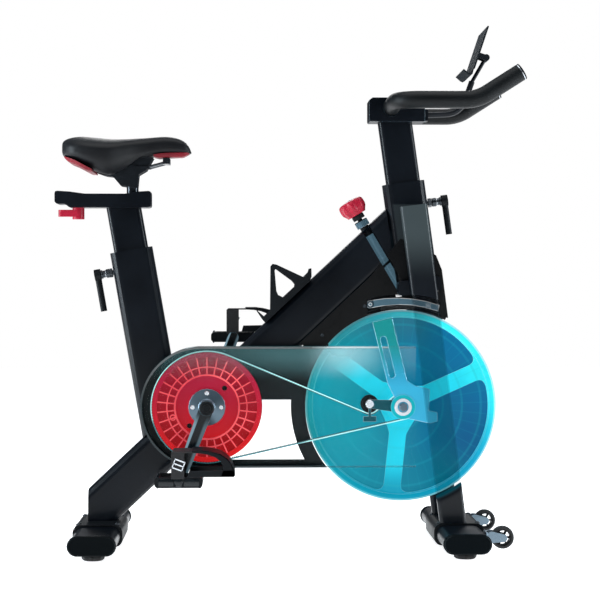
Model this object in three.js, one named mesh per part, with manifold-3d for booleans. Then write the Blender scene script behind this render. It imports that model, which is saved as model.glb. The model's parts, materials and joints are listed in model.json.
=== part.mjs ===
// Indoor spin bike, in millimetres: +X is the bike's front, +Y its left side and +Z up.
// The origin is on the floor, under the middle of the bike.

import * as THREE from 'three';
import { mergeVertices } from 'three/addons/utils/BufferGeometryUtils.js';
import Module from 'manifold-3d';

const wasm = await Module();
wasm.setup();

// ---- Driving dimensions ---------------------------------------------------------------------

const GAP = 0.3;            // between pieces that touch
const BIG = 2000;           // size of the blocks that only cut

const CRANK_X = -184.5;     // centre of the bottom bracket
const CRANK_Z = 330;
const HUB_X = 271.5;        // centre of the flywheel
const HUB_Z = 330.6;

const MAIN_ANGLE = THREE.MathUtils.degToRad(43.25);    // main tube above the horizontal
const SEAT_TOP = { x: -363.3, z: 697 };                // seat tube: top and bottom of its axis
const SEAT_FOOT = { x: -283, z: 238 };
const POST_TOP = { x: 277.6, z: 856 };                 // front post and fork: ends of their axis
const POST_FOOT = { x: 382, z: 99 };

const TUBE_WIDE = 100;      // outer frame tubes, seen from the side
const TUBE_DEEP = 50;       // and from the front
const TUBE_ROUND = 20;
const TUBE_WALL = 3;
const INNER_WIDE = 80;      // seat post and handlebar post
const INNER_DEEP = 38;
const INNER_ROUND = 12;
const COLLAR_LONG = 70;     // thick guide at the top of each outer tube

const FOOT_Z = 37;          // stabilizers: flat oval tubes across the bike
const FOOT_WIDE = 105;
const FOOT_TALL = 41;
const FOOT_HALF = 240;
const CAP_LONG = 15;
const REAR_FOOT_X = -435;
const FRONT_FOOT_X = 399;
const SLEEVE_WALL = 5;
const SLEEVE_HALF = 93;
const SLEEVE_TOP = FOOT_Z + FOOT_TALL / 2 + SLEEVE_WALL;
const LEVELLER_Y = 205;

const FORK_IN = 68;         // fork legs, from the middle of the bike
const FORK_OUT = 92;
const FORK_WIDE = 62;
const FORK_TOP = { x: 294.2, z: 799 };                 // ends of a fork leg's axis
const FORK_FOOT = { x: 387.5, z: 55 };
const CROWN_Z = 612;        // bridges that join the post to the fork legs
const BRIDGE_Z = 768;
const CROWN_TALL = 34;

const BELT_IN = 38;         // belt plane, on the right side of the bike
const BELT_OUT = 50;
const BELT_THICK = 2.6;
const BELT_GAP = 0.8;       // between the belt's coarse arcs and its wheels
const PULLEY_R = 128;
const SMALL_R = 28;
const IDLER = { x: 195, z: 337, r: 21 };

const FLYWHEEL_R = 225;
const FLYWHEEL_HALF = 14;
const AXLE_R = 8;

const CRANK_LONG = 170;
const CRANK_ANGLE = THREE.MathUtils.degToRad(-110.8);  // right crank, down and to the rear
const PEDAL_IN = 104;
const PEDAL_OUT = 200;

const GUARD_R = 141;        // round rear end of the belt guard
const GUARD_X = CRANK_X - 14;
const GUARD_FRONT = 302;
const GUARD_BACK = 27;      // guard plates, from the middle of the bike
const GUARD_FACE = 60;
const FENDER_R = 232;       // band round the rear of the flywheel
const FENDER_WIDE = 28;

const KNOB = { x: 158.9, z: 796.5 };                   // resistance knob and the end of its rod
const ROD_END = { x: 282.2, z: 587.8 };
const BRAKE_PIVOT = { x: 199, z: 569 };

const BAR_X = 247;          // handlebar: crossbar, arms and raised ends
const BAR_Z = 1031;
const BAR_R = 20;
const BAR_HALF = 190;
const BAR_BEND = 428;
const BAR_RISE = THREE.MathUtils.degToRad(32.5);
const BAR_END = 540.5;

// ---- Materials --------------------------------------------------------------------------------

const finish = (color, roughness, metalness = 0, opacity = 1) =>
  new THREE.MeshStandardMaterial({ color, roughness, metalness, opacity, transparent: opacity < 1 });
const looks = {
  frame: () => finish(0x0b0e12, 0.25),
  clear: () => finish(0xcfe4ee, 0.1, 0, 0.25),
  smoked: () => finish(0x2a3438, 0.2, 0, 0.5),
  plastic: () => finish(0x111316, 0.5),
  rubber: () => finish(0x0a0a0b, 0.8),
  foam: () => finish(0x0d0e10, 0.9),
  red: () => finish(0xb01622, 0.4),
  steel: () => finish(0x7f878d, 0.35, 1),
  chrome: () => finish(0xc8ccd0, 0.12, 1),
  cyan: () => finish(0x18c8e8, 0.25, 0.3, 0.7),
  leather: () => finish(0x0c0d0f, 0.6),
};

// ---- Helpers ----------------------------------------------------------------------------------

const bike = new THREE.Group();

function toSolid(geometry) {
  const bare = geometry.clone();
  bare.deleteAttribute('normal');
  bare.deleteAttribute('uv');
  const merged = mergeVertices(bare, 1e-4);
  return new wasm.Manifold(new wasm.Mesh({
    numProp: 3,
    vertProperties: new Float32Array(merged.attributes.position.array),
    triVerts: new Uint32Array(merged.index.array),
  }));
}

function toGeometry(solid) {
  const { vertProperties, triVerts } = solid.getMesh();
  const geometry = new THREE.BufferGeometry();
  geometry.setAttribute('position', new THREE.BufferAttribute(vertProperties, 3));
  geometry.setIndex(new THREE.BufferAttribute(triVerts, 1));
  geometry.computeVertexNormals();
  return geometry;
}

const join = (first, ...rest) =>
  toGeometry(rest.reduce((sum, piece) => sum.add(toSolid(piece)), toSolid(first)));
const cut = (first, ...tools) =>
  toGeometry(tools.reduce((left, tool) => left.subtract(toSolid(tool)), toSolid(first)));

function part(name, geometry, material, x = 0, y = 0, z = 0) {
  const mesh = new THREE.Mesh(geometry, material);
  mesh.name = name;
  mesh.position.set(x, y, z);
  bike.add(mesh);
  return mesh;
}

// A rounded rectangle centred on the origin of its own plane.
function roundedRect(wide, tall, round) {
  const x = wide / 2 - round;
  const y = tall / 2 - round;
  const shape = new THREE.Shape();
  shape.absarc(x, y, round, 0, Math.PI / 2);
  shape.absarc(-x, y, round, Math.PI / 2, Math.PI);
  shape.absarc(-x, -y, round, Math.PI, Math.PI * 1.5);
  shape.absarc(x, -y, round, Math.PI * 1.5, Math.PI * 2);
  shape.closePath();
  return shape;
}

// A straight bar whose axis runs in the X-Z plane at a given y. `wide` lies in that plane.
function bar(from, to, { wide, deep, round, wall = 0, y = 0, smooth = 2 }) {
  const shape = roundedRect(wide, deep, round);
  if (wall) shape.holes.push(roundedRect(wide - 2 * wall, deep - 2 * wall, Math.max(round - wall, 1)));
  const start = new THREE.Vector3(from.x, y, from.z);
  const along = new THREE.Vector3(to.x - from.x, 0, to.z - from.z);
  const length = along.length();
  along.normalize();
  const across = new THREE.Vector3(0, 1, 0);
  const frame = new THREE.Matrix4().makeBasis(across.clone().cross(along), across, along);
  frame.setPosition(start);
  const geometry = new THREE.ExtrudeGeometry(shape, {
    depth: length, bevelEnabled: false, curveSegments: smooth,
  });
  return geometry.applyMatrix4(frame);
}

// A round rod between two points.
function rod(radius, from, to, sides = 16) {
  const start = new THREE.Vector3(...from);
  const along = new THREE.Vector3(...to).sub(start);
  const geometry = new THREE.CylinderGeometry(radius, radius, along.length(), sides);
  geometry.translate(0, along.length() / 2, 0);
  const turn = new THREE.Quaternion().setFromUnitVectors(new THREE.Vector3(0, 1, 0), along.normalize());
  return geometry.applyQuaternion(turn).translate(start.x, start.y, start.z);
}

// A side-view outline, drawn as (x, z), made solid between two values of y.
function plate(shape, y0, y1, smooth = 6) {
  const low = Math.min(y0, y1);
  const high = Math.max(y0, y1);
  const geometry = new THREE.ExtrudeGeometry(shape, {
    depth: high - low, bevelEnabled: false, curveSegments: smooth,
  });
  return geometry.rotateX(Math.PI / 2).translate(0, high, 0);
}

function box(x0, x1, y0, y1, z0, z1) {
  const geometry = new THREE.BoxGeometry(x1 - x0, y1 - y0, z1 - z0);
  return geometry.translate((x0 + x1) / 2, (y0 + y1) / 2, (z0 + z1) / 2);
}

// A turned piece on the Y axis. The profile is a list of [radius, y], with the axis on its left.
function turned(profile, sides = 24) {
  return new THREE.LatheGeometry(profile.map(([r, y]) => new THREE.Vector2(r, y)), sides);
}

// A turned ring: its profile closes on itself.
const ring = (profile, sides = 24) => turned([...profile, profile[0]], sides);

function outline(points) {
  const shape = new THREE.Shape();
  points.forEach(([x, z], index) => (index ? shape.lineTo(x, z) : shape.moveTo(x, z)));
  shape.closePath();
  return shape;
}

// Outline of an arm between two circles of different size.
function armShape(a, ra, b, rb) {
  const heading = Math.atan2(b.z - a.z, b.x - a.x);
  const slant = Math.acos((ra - rb) / Math.hypot(b.x - a.x, b.z - a.z));
  const shape = new THREE.Shape();
  shape.absarc(a.x, a.z, ra, heading + slant, heading + 2 * Math.PI - slant);
  shape.absarc(b.x, b.z, rb, heading - slant, heading + slant);
  shape.closePath();
  return shape;
}

const holeY = (x, z, radius, sides = 24) => rod(radius, [x, -300, z], [x, 300, z], sides);
const mainPoint = (x) => ({ x, z: CRANK_Z + (x - CRANK_X) * Math.tan(MAIN_ANGLE) });
const mainAt = (z) => CRANK_X + (z - CRANK_Z) / Math.tan(MAIN_ANGLE);
const between = (a, b, t) => ({ x: a.x + (b.x - a.x) * t, z: a.z + (b.z - a.z) * t });
const postAt = (z) => between(POST_TOP, POST_FOOT, (POST_TOP.z - z) / (POST_TOP.z - POST_FOOT.z));
const reach = (a, b, distance) => between(a, b, distance / Math.hypot(b.x - a.x, b.z - a.z));

const PIN_HUB = 15;         // length of the hub of a pin's lever

// A sprung pin square to a tube: its tip stops at the inner post and its hub is outside.
function pinPlaces(top, foot, depth, side, hubOut) {
  const base = reach(top, foot, depth);
  const length = Math.hypot(foot.x - top.x, foot.z - top.z);
  const out = { x: (side * (top.z - foot.z)) / length, z: (side * (foot.x - top.x)) / length };
  const at = (distance) => ({ x: base.x + out.x * distance, z: base.z + out.z * distance });
  return { out, at, tip: at(INNER_WIDE / 2 + 0.6), end: at(hubOut - PIN_HUB), hub: at(hubOut) };
}
const pin = {
  seat: pinPlaces(SEAT_TOP, SEAT_FOOT, 45, -1, 95),
  bar: pinPlaces(POST_TOP, POST_FOOT, 55, 1, 99),
};
const WHEEL = { x: 492, z: 38, r: 26, half: 12, y: 145 };

// ---- Frame ------------------------------------------------------------------------------------

const REAR_CUT = -463;
const sleeveCut = box(-BIG, BIG, -BIG, BIG, -BIG, SLEEVE_TOP + GAP);
const tubeSection = { wide: TUBE_WIDE, deep: TUBE_DEEP, round: TUBE_ROUND, wall: TUBE_WALL };
const clearance = { wide: TUBE_WIDE + 2 * GAP, deep: TUBE_DEEP + 30, round: 2 };
const innerBore = { wide: INNER_WIDE + 2 * GAP, deep: INNER_DEEP + 2 * GAP, round: INNER_ROUND };
const innerPost = { wide: INNER_WIDE, deep: INNER_DEEP, round: INNER_ROUND };
const rodLine = (t) => between(KNOB, ROD_END, t);
const rodHole = (radius) => rod(radius, [KNOB.x, 0, KNOB.z], [ROD_END.x, 0, ROD_END.z], 20);

function makeMainTube() {
  const shellR = 27;
  const shellHalf = 34;
  const boreR = 17.3;
  const earRoot = { x: BRAKE_PIVOT.x - 16, z: mainPoint(BRAKE_PIVOT.x - 16).z - 66 };
  const ear = (y0, y1) => plate(armShape(earRoot, 16, BRAKE_PIVOT, 9), y0, y1, 4);
  const tube = cut(
    bar(mainPoint(-520), mainPoint(285), tubeSection),
    box(-BIG, REAR_CUT, -BIG, BIG, -BIG, BIG),
    sleeveCut,
    bar(between(POST_TOP, POST_FOOT, -0.1), POST_FOOT, clearance),
    rodHole(11.2),
  );
  const earInside = bar(mainPoint(0), mainPoint(285), { wide: 90, deep: 60, round: 10 });
  const shell = rod(shellR, [CRANK_X, -shellHalf, CRANK_Z], [CRANK_X, shellHalf, CRANK_Z], 32);
  const whole = join(tube, shell, cut(ear(16, 20), earInside), cut(ear(-20, -16), earInside));
  return cut(whole, holeY(CRANK_X, CRANK_Z, boreR, 28), holeY(BRAKE_PIVOT.x, BRAKE_PIVOT.z, 4.3, 12));
}

function makeSeatTube() {
  const collarEnd = reach(SEAT_TOP, SEAT_FOOT, COLLAR_LONG);
  const solid = { ...tubeSection, wall: 0 };
  return cut(
    join(bar(SEAT_TOP, SEAT_FOOT, tubeSection), bar(SEAT_TOP, collarEnd, solid)),
    bar(between(SEAT_TOP, SEAT_FOOT, -0.05), reach(SEAT_TOP, SEAT_FOOT, 300), innerBore),
    bar(mainPoint(-520), mainPoint(-60), clearance),
    rod(6.4, [pin.seat.hub.x, 0, pin.seat.hub.z], [pin.seat.tip.x, 0, pin.seat.tip.z]),
  );
}

function makeFrontPost() {
  const lean = Math.atan2(POST_FOOT.x - POST_TOP.x, POST_TOP.z - POST_FOOT.z);
  const end = FORK_IN - GAP;
  const crossBar = (z, wide, tall, shift) => {
    const centre = postAt(z);
    const section = roundedRect(wide, tall, 8);
    return plate(section, -end, end, 2).rotateY(-lean).translate(centre.x + shift, 0, centre.z);
  };
  const solid = { ...tubeSection, wall: 0 };
  return cut(
    join(
      bar(POST_TOP, postAt(CROWN_Z + 4), tubeSection),
      bar(POST_TOP, postAt(POST_TOP.z - COLLAR_LONG), solid),
      crossBar(CROWN_Z, TUBE_WIDE, CROWN_TALL, 0),
      crossBar(BRIDGE_Z, 40, 30, 6),
    ),
    bar(postAt(POST_TOP.z + 20), postAt(CROWN_Z + CROWN_TALL / 2 + 6), innerBore),
    rodHole(12.5),
    rod(6.4, [pin.bar.hub.x, 0, pin.bar.hub.z], [pin.bar.tip.x, 0, pin.bar.tip.z]),
  );
}

function makeForkLeg(side) {
  const y = side * (FORK_IN + FORK_OUT) / 2;
  const deep = FORK_OUT - FORK_IN;
  const inside = { wide: FORK_WIDE - 2 * TUBE_WALL, deep: deep - 2 * TUBE_WALL, round: 6, y };
  return cut(
    bar(FORK_TOP, FORK_FOOT, { wide: FORK_WIDE, deep, round: 9, y }),
    bar(reach(FORK_TOP, FORK_FOOT, TUBE_WALL), between(FORK_TOP, FORK_FOOT, 1.1), inside),
    sleeveCut,
  );
}

// Plate on the inner face of a fork leg. It carries the axle, and a strap runs up from it.
function makeDropout(side) {
  const shape = outline([
    [259, 318], [285, 303], [335, 292], [352, 296], [352, 318], [332, 322], [334, 372], [300, 380],
    [281, 392], [246, 539], [200, 528], [236, 384], [252, 352],
  ]);
  return cut(
    plate(shape, side * (FORK_IN - 6), side * (FORK_IN - GAP)),
    holeY(HUB_X, HUB_Z, AXLE_R + GAP),
    plate(armShape({ x: 246, z: 405 }, 7, { x: 226, z: 488 }, 7), -300, 300, 4),
  );
}

const ovalSection = roundedRect(FOOT_WIDE, FOOT_TALL, FOOT_TALL / 2 - 0.01);

function makeStabilizer() {
  const section = ovalSection.clone();
  section.holes.push(roundedRect(FOOT_WIDE - 6, FOOT_TALL - 6, (FOOT_TALL - 6) / 2 - 0.01));
  const stud = (y) => rod(5.6, [0, y, -FOOT_TALL], [0, y, 0], 12);
  return cut(plate(section, -FOOT_HALF, FOOT_HALF, 4), stud(LEVELLER_Y), stud(-LEVELLER_Y));
}

function makeSleeve() {
  const grow = 2 * SLEEVE_WALL;
  const section = roundedRect(FOOT_WIDE + grow, FOOT_TALL + grow, 18);
  section.holes.push(roundedRect(FOOT_WIDE + 0.6, FOOT_TALL + 0.6, FOOT_TALL / 2));
  return plate(section, -SLEEVE_HALF, SLEEVE_HALF, 3);
}

function makeEndCap() {
  const bevel = 3;
  const section = roundedRect(FOOT_WIDE - 2, FOOT_TALL - 2, FOOT_TALL / 2 - 1.01);
  const geometry = new THREE.ExtrudeGeometry(section, {
    depth: CAP_LONG - 2 * bevel, curveSegments: 3,
    bevelThickness: bevel, bevelSize: bevel, bevelSegments: 1,
  });
  return geometry.rotateX(Math.PI / 2).translate(0, CAP_LONG - bevel, 0);
}

function makeLeveller() {
  const lobes = 8;
  const points = [];
  for (let step = 0; step < lobes * 4; step++) {
    const angle = (step / (lobes * 4)) * 2 * Math.PI;
    const r = 24 + 1.5 * Math.cos(lobes * angle);
    points.push([r * Math.cos(angle), r * Math.sin(angle)]);
  }
  const disc = new THREE.ExtrudeGeometry(outline(points), { depth: 11, bevelEnabled: false });
  return join(disc, rod(5, [0, 0, 5], [0, 0, 34], 12));
}

function makeWheelBracket() {
  const back = FRONT_FOOT_X + FOOT_WIDE / 2 + GAP;
  const cheek = (y0, y1) => plate(armShape({ x: back + 14, z: 40 }, 13, WHEEL, 9), y0, y1, 4);
  return join(
    box(back, back + 4, -19, 19, 24, 52),
    cheek(14, 18), cheek(-18, -14),
    rod(4, [WHEEL.x, -18, WHEEL.z], [WHEEL.x, 18, WHEEL.z], 12),
  );
}

part('main_tube', makeMainTube(), looks.frame());
part('seat_tube', makeSeatTube(), looks.frame());
part('front_post', makeFrontPost(), looks.frame());
part('fork_leg_right', makeForkLeg(-1), looks.frame());
part('fork_leg_left', makeForkLeg(1), looks.frame());
part('dropout_right', makeDropout(-1), looks.steel());
part('dropout_left', makeDropout(1), looks.steel());

for (const [end, x] of [['rear', REAR_FOOT_X], ['front', FRONT_FOOT_X]]) {
  part(`${end}_stabilizer`, makeStabilizer(), looks.frame(), x, 0, FOOT_Z);
  part(`${end}_foot_sleeve`, makeSleeve(), looks.plastic(), x, 0, FOOT_Z);
  for (const [hand, side] of [['right', -1], ['left', 1]]) {
    const cap = part(`${end}_cap_${hand}`, makeEndCap(), looks.plastic(), x, 0, FOOT_Z);
    cap.rotation.z = side < 0 ? Math.PI : 0;
    cap.position.y = side * (FOOT_HALF + GAP);
    part(`${end}_leveller_${hand}`, makeLeveller(), looks.rubber(), x, side * LEVELLER_Y, 0);
  }
}

for (const [hand, side] of [['right', -1], ['left', 1]]) {
  part(`wheel_bracket_${hand}`, makeWheelBracket(), looks.steel(), 0, side * WHEEL.y, 0);
  const tread = ring([[4.4, -WHEEL.half], [22, -WHEEL.half], [WHEEL.r, -8], [WHEEL.r, 8],
    [22, WHEEL.half], [4.4, WHEEL.half]], 24);
  part(`transport_wheel_${hand}`, tread, looks.rubber(), WHEEL.x, side * WHEEL.y, WHEEL.z);
}

// ---- Belt guard -------------------------------------------------------------------------------

// Side outline of the guard: a round rear end and straight top and bottom edges.
function guardShape(front, shrink = 0) {
  const r = GUARD_R - shrink;
  const shape = new THREE.Shape();
  shape.absarc(GUARD_X, CRANK_Z, r, Math.PI / 2, Math.PI * 1.5);
  shape.lineTo(front, CRANK_Z - r);
  shape.lineTo(front, CRANK_Z + r);
  shape.closePath();
  return shape;
}

function makeInnerGuard() {
  const thick = 4;
  const back = -GUARD_BACK;
  const face = -(GUARD_FACE - 3) + GAP;
  const hub = (radius) => holeY(HUB_X, HUB_Z, radius, 96);
  const window = cut(
    box(-140, 100, -300, 300, CRANK_Z - GUARD_R + 17, CRANK_Z + 16),
    holeY(CRANK_X, CRANK_Z, 118, 48), hub(FENDER_R + FENDER_WIDE),
  );
  const tray = cut(plate(guardShape(200), back, face, 14), plate(guardShape(260, 3), back - thick, -300, 14));
  return cut(tray, hub(FENDER_R), window, holeY(CRANK_X, CRANK_Z, 28, 28), box(60, BIG, -BIG, BIG, 300, BIG));
}

function makeOuterGuard() {
  const shell = cut(
    plate(guardShape(GUARD_FRONT, -1), -36, -GUARD_FACE, 14),
    plate(guardShape(GUARD_FRONT + 50, 1.5), -20, -(GUARD_FACE - 3), 14),
  );
  return cut(
    shell,
    plate(guardShape(100, -GAP), -20, -(GUARD_FACE - 3), 14),
    holeY(CRANK_X, CRANK_Z, 50, 40),
    holeY(HUB_X, HUB_Z, 17, 24),
  );
}

part('belt_guard_inner', makeInnerGuard(), looks.plastic());
part('belt_guard_outer', makeOuterGuard(), looks.clear());

// ---- Dark shroud over the brake and the top of the flywheel -------------------------------------

// Two side plates that run from the head down over the flywheel, and a wall in front of the post.
function makeShroud() {
  const inner = TUBE_DEEP / 2 + GAP;
  const thick = 2.5;
  const front = (z, out) => [postAt(z).x + TUBE_WIDE / 2 + out, z];
  const under = (x, drop) => [x, mainPoint(x).z - drop];
  const guardTop = CRANK_Z + GUARD_R + 3;
  const lowLeft = mainAt(guardTop + 56);
  const side = outline([
    [269, 724], under(200, 56), under(lowLeft, 56), [lowLeft + 110, guardTop],
    front(537, 10), front(600, 11), front(650, 11), front(684, 2), front(700, -20),
  ]);
  const core = outline([
    [269, 740], [-100, 740], [-100, 300], front(300, 7.5), front(600, 8.5),
    front(650, 8.5), front(674, 1), front(760, 1),
  ]);
  const shell = cut(plate(side, -inner - thick, inner + thick), plate(core, -inner, inner));
  const crown = bar(postAt(CROWN_Z + CROWN_TALL / 2 + 2), postAt(CROWN_Z - CROWN_TALL / 2 - 2),
    { wide: TUBE_WIDE + 2, deep: 300, round: 5 });
  return cut(shell, crown, holeY(HUB_X, HUB_Z, FENDER_R + 2, 96));
}

part('brake_shroud', makeShroud(), looks.smoked());

// ---- Bottle cage --------------------------------------------------------------------------------

function makeBottleCage() {
  const long = 155;
  const half = 38;
  const loop = outline([[-8, 6], [long + 4, 6], [long + 8, 14], [104, 88], [94, 88], [-10, 34]]);
  loop.holes.push(outline([[6, 16], [long - 14, 16], [97, 74], [4, 30]]));
  const toFrame = new THREE.Matrix4().makeRotationY(-MAIN_ANGLE);
  const seat = mainPoint(-11);
  toFrame.setPosition(
    seat.x - Math.sin(MAIN_ANGLE) * TUBE_WIDE / 2, 0, seat.z + Math.cos(MAIN_ANGLE) * TUBE_WIDE / 2,
  );
  const strip = box(-8, long + 4, -half, half, 6, 10);
  const foot = (x) => box(x, x + 24, -14, 14, GAP, 8);
  const lip = box(-10, -5, -half, half, 8, 32);
  const cage = join(
    strip, lip, plate(loop, half - 4, half, 2), plate(loop, -half, 4 - half, 2), foot(20), foot(110),
  );
  return cage.applyMatrix4(toFrame);
}

part('bottle_cage', makeBottleCage(), looks.plastic());

// ---- Drive --------------------------------------------------------------------------------------

const PULLEY_BORE = 17.6;

function makeDrivePulley() {
  const face = -BELT_OUT;
  const web = -45;
  const disc = ring([
    [PULLEY_BORE, face], [34, face], [34, web], [73, web], [73, face + 1], [77, face + 1], [77, web],
    [117, web], [117, face], [PULLEY_R, face], [PULLEY_R, -BELT_IN], [PULLEY_BORE, -BELT_IN],
  ], 40);
  const holes = [40, 220].map((degrees) => {
    const angle = THREE.MathUtils.degToRad(degrees);
    return holeY(60 * Math.cos(angle), 60 * Math.sin(angle), 6, 12);
  });
  return cut(disc, ...holes);
}

// Axle with its bearing seats in the shell and the flange that drives the pulley.
function makeCrankAxle() {
  const half = 66;
  const seat = 17;
  return turned([
    [0, -half], [15, -half], [20, -60], [43, -55], [43, -50.3], [17.3, -50.3], [17.3, -36],
    [12, -32], [seat, -32], [seat, -22], [12, -22], [12, 22], [seat, 22], [seat, 32],
    [12, 32], [12, half], [0, half],
  ], 20);
}

function crankEnd(side) {
  const angle = CRANK_ANGLE + (side > 0 ? Math.PI : 0);
  return { x: CRANK_LONG * Math.cos(angle), z: CRANK_LONG * Math.sin(angle) };
}

// A crank about the axle's centre, with the pedal's spindle on its end.
function makeCrank(side) {
  const end = crankEnd(side);
  const arm = plate(armShape({ x: 0, z: 0 }, 17, end, 13), side * 76, side * 92, 5);
  return join(
    arm,
    rod(17.5, [0, side * 66.3, 0], [0, side * 96, 0], 24),
    rod(7, [end.x, side * 84, end.z], [end.x, side * 192, end.z], 12),
  );
}

// A pedal about its spindle.
function makePedal(side) {
  const half = 54;
  const inner = side * PEDAL_IN;
  const outer = side * PEDAL_OUT;
  const low = Math.min(inner, outer);
  const high = Math.max(inner, outer);
  const body = plate(roundedRect(2 * half, 24, 8), low, high, 3);
  const slot = (x0, x1) => box(x0, x1, low + 18, high - 18, -BIG, BIG);
  return cut(
    join(body, rod(12, [0, inner, 0], [0, outer, 0], 20)),
    rod(7.4, [0, side * 60, 0], [0, side * 193, 0], 12),
    slot(18, 42), slot(-42, -18),
  );
}

// The cage for the toes, with the strap that goes over the foot.
function makeToeCage(side) {
  const middle = side * (PEDAL_IN + PEDAL_OUT) / 2;
  const half = (PEDAL_OUT - PEDAL_IN) / 2 + GAP;
  const toe = new THREE.Shape();
  toe.moveTo(54 + GAP, -12);
  toe.lineTo(90, -10);
  toe.quadraticCurveTo(122, -6, 122, 22);
  toe.quadraticCurveTo(120, 52, 80, 62);
  toe.lineTo(4, 74);
  toe.lineTo(4, 71);
  toe.lineTo(80, 58.5);
  toe.quadraticCurveTo(117, 49, 118.5, 22);
  toe.quadraticCurveTo(118, -2, 90, -6);
  toe.lineTo(54 + GAP, -8);
  toe.closePath();
  const strap = outline([
    [-half - 3, -8], [-half, -8], [-half, 50], [-half + 16, 70], [half - 16, 70], [half, 50],
    [half, -8], [half + 3, -8], [half + 3, 51], [half - 14, 73], [-half + 14, 73], [-half - 3, 51],
  ]);
  const strapBand = plate(strap, -12, 12).rotateZ(Math.PI / 2);
  const spindle = rod(7.8, [0, -middle, 0], [0, 0, 0], 12);
  return cut(join(plate(toe, -36, 36, 4), strapBand), spindle).translate(0, middle, 0);
}

part('drive_pulley', makeDrivePulley(), looks.red(), CRANK_X, 0, CRANK_Z);
part('crank_axle', makeCrankAxle(), looks.steel(), CRANK_X, 0, CRANK_Z);
for (const [hand, side] of [['right', -1], ['left', 1]]) {
  const end = crankEnd(side);
  const pedal = [CRANK_X + end.x, 0, CRANK_Z + end.z];
  part(`crank_${hand}`, makeCrank(side), looks.steel(), CRANK_X, 0, CRANK_Z);
  part(`pedal_${hand}`, makePedal(side), looks.plastic(), ...pedal);
  part(`toe_cage_${hand}`, makeToeCage(side), looks.plastic(), ...pedal);
}

const SPOKE_TURN = THREE.MathUtils.degToRad(24);
const SPOKE_HALF = 20;

// One of the three pockets between the spokes, with round corners.
function pocketShape(turn) {
  const inner = 48;
  const outer = 207;
  const start = turn;
  const end = turn + (2 * Math.PI) / 3;
  const on = (radius, angle) => [radius * Math.cos(angle), radius * Math.sin(angle)];
  const edge = (radius) => Math.asin(SPOKE_HALF / radius);
  const round = 22;
  const shape = new THREE.Shape();
  shape.moveTo(...on(inner + round, start + edge(inner + round)));
  shape.lineTo(...on(outer - round, start + edge(outer - round)));
  const outerStart = start + edge(outer) + round / outer;
  shape.quadraticCurveTo(...on(outer, start + edge(outer)), ...on(outer, outerStart));
  shape.absarc(0, 0, outer, outerStart, end - edge(outer) - round / outer);
  shape.quadraticCurveTo(...on(outer, end - edge(outer)), ...on(outer - round, end - edge(outer - round)));
  shape.lineTo(...on(inner + round, end - edge(inner + round)));
  shape.quadraticCurveTo(...on(inner, end - Math.PI / 3 + 0.3), ...on(inner, start + Math.PI / 3));
  shape.quadraticCurveTo(
    ...on(inner, start + Math.PI / 3 - 0.3), ...on(inner + round, start + edge(inner + round)),
  );
  return shape;
}

function makeFlywheel() {
  const web = 3;
  const spoke = 9;
  const disc = ring([
    [AXLE_R + 0.6, -20], [30, -20], [36, -spoke], [208, -spoke], [209, -FLYWHEEL_HALF],
    [222, -FLYWHEEL_HALF], [FLYWHEEL_R, -11], [FLYWHEEL_R, 11], [222, FLYWHEEL_HALF],
    [209, FLYWHEEL_HALF], [208, spoke], [36, spoke], [30, 20], [AXLE_R + 0.6, 20],
  ], 40);
  const pockets = [0, 1, 2].flatMap((step) => {
    const shape = pocketShape(SPOKE_TURN + (step * 2 * Math.PI) / 3);
    return [plate(shape, web, 40, 3), plate(shape, -40, -web, 3)];
  });
  return cut(disc, ...pockets);
}

part('flywheel', makeFlywheel(), looks.cyan(), HUB_X, 0, HUB_Z);
part('flywheel_pulley', ring([
  [AXLE_R + 0.6, -51.6], [21, -51.6], [21, -BELT_OUT], [SMALL_R, -BELT_OUT], [SMALL_R, -BELT_IN],
  [18, -BELT_IN], [18, -20.3], [AXLE_R + 0.6, -20.3],
], 24), looks.steel(), HUB_X, 0, HUB_Z);

function makeFlywheelAxle() {
  const nut = (y0, y1) => rod(11, [0, y0, 0], [0, y1, 0], 6);
  return join(rod(AXLE_R, [0, -82, 0], [0, 82, 0], 20), nut(-77, -FORK_IN - GAP), nut(FORK_IN + GAP, 77));
}
part('flywheel_axle', makeFlywheelAxle(), looks.steel(), HUB_X, 0, HUB_Z);

// Tensioner: an arm on the axle that holds the idler's stub.
function makeIdlerBracket() {
  const hub = { x: HUB_X, z: HUB_Z };
  const face = -56;
  return cut(
    join(
      plate(armShape(hub, 15, IDLER, 10), face, -52, 6),
      rod(6, [IDLER.x, -54, IDLER.z], [IDLER.x, -BELT_IN, IDLER.z]),
      box(IDLER.x - 3, IDLER.x + 3, face, -52, 300, IDLER.z),
      box(IDLER.x - 15, IDLER.x + 15, face, -52, 296, 308),
    ),
    holeY(HUB_X, HUB_Z, AXLE_R + GAP, 20),
  );
}
part('idler_bracket', makeIdlerBracket(), looks.steel());
part('idler_wheel', ring([
  [6.4, -BELT_OUT], [19, -BELT_OUT], [IDLER.r, -BELT_OUT + 1.5], [IDLER.r, -BELT_IN - 1.5], [19, -BELT_IN],
  [6.4, -BELT_IN],
], 20), looks.plastic(), IDLER.x, 0, IDLER.z);

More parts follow.
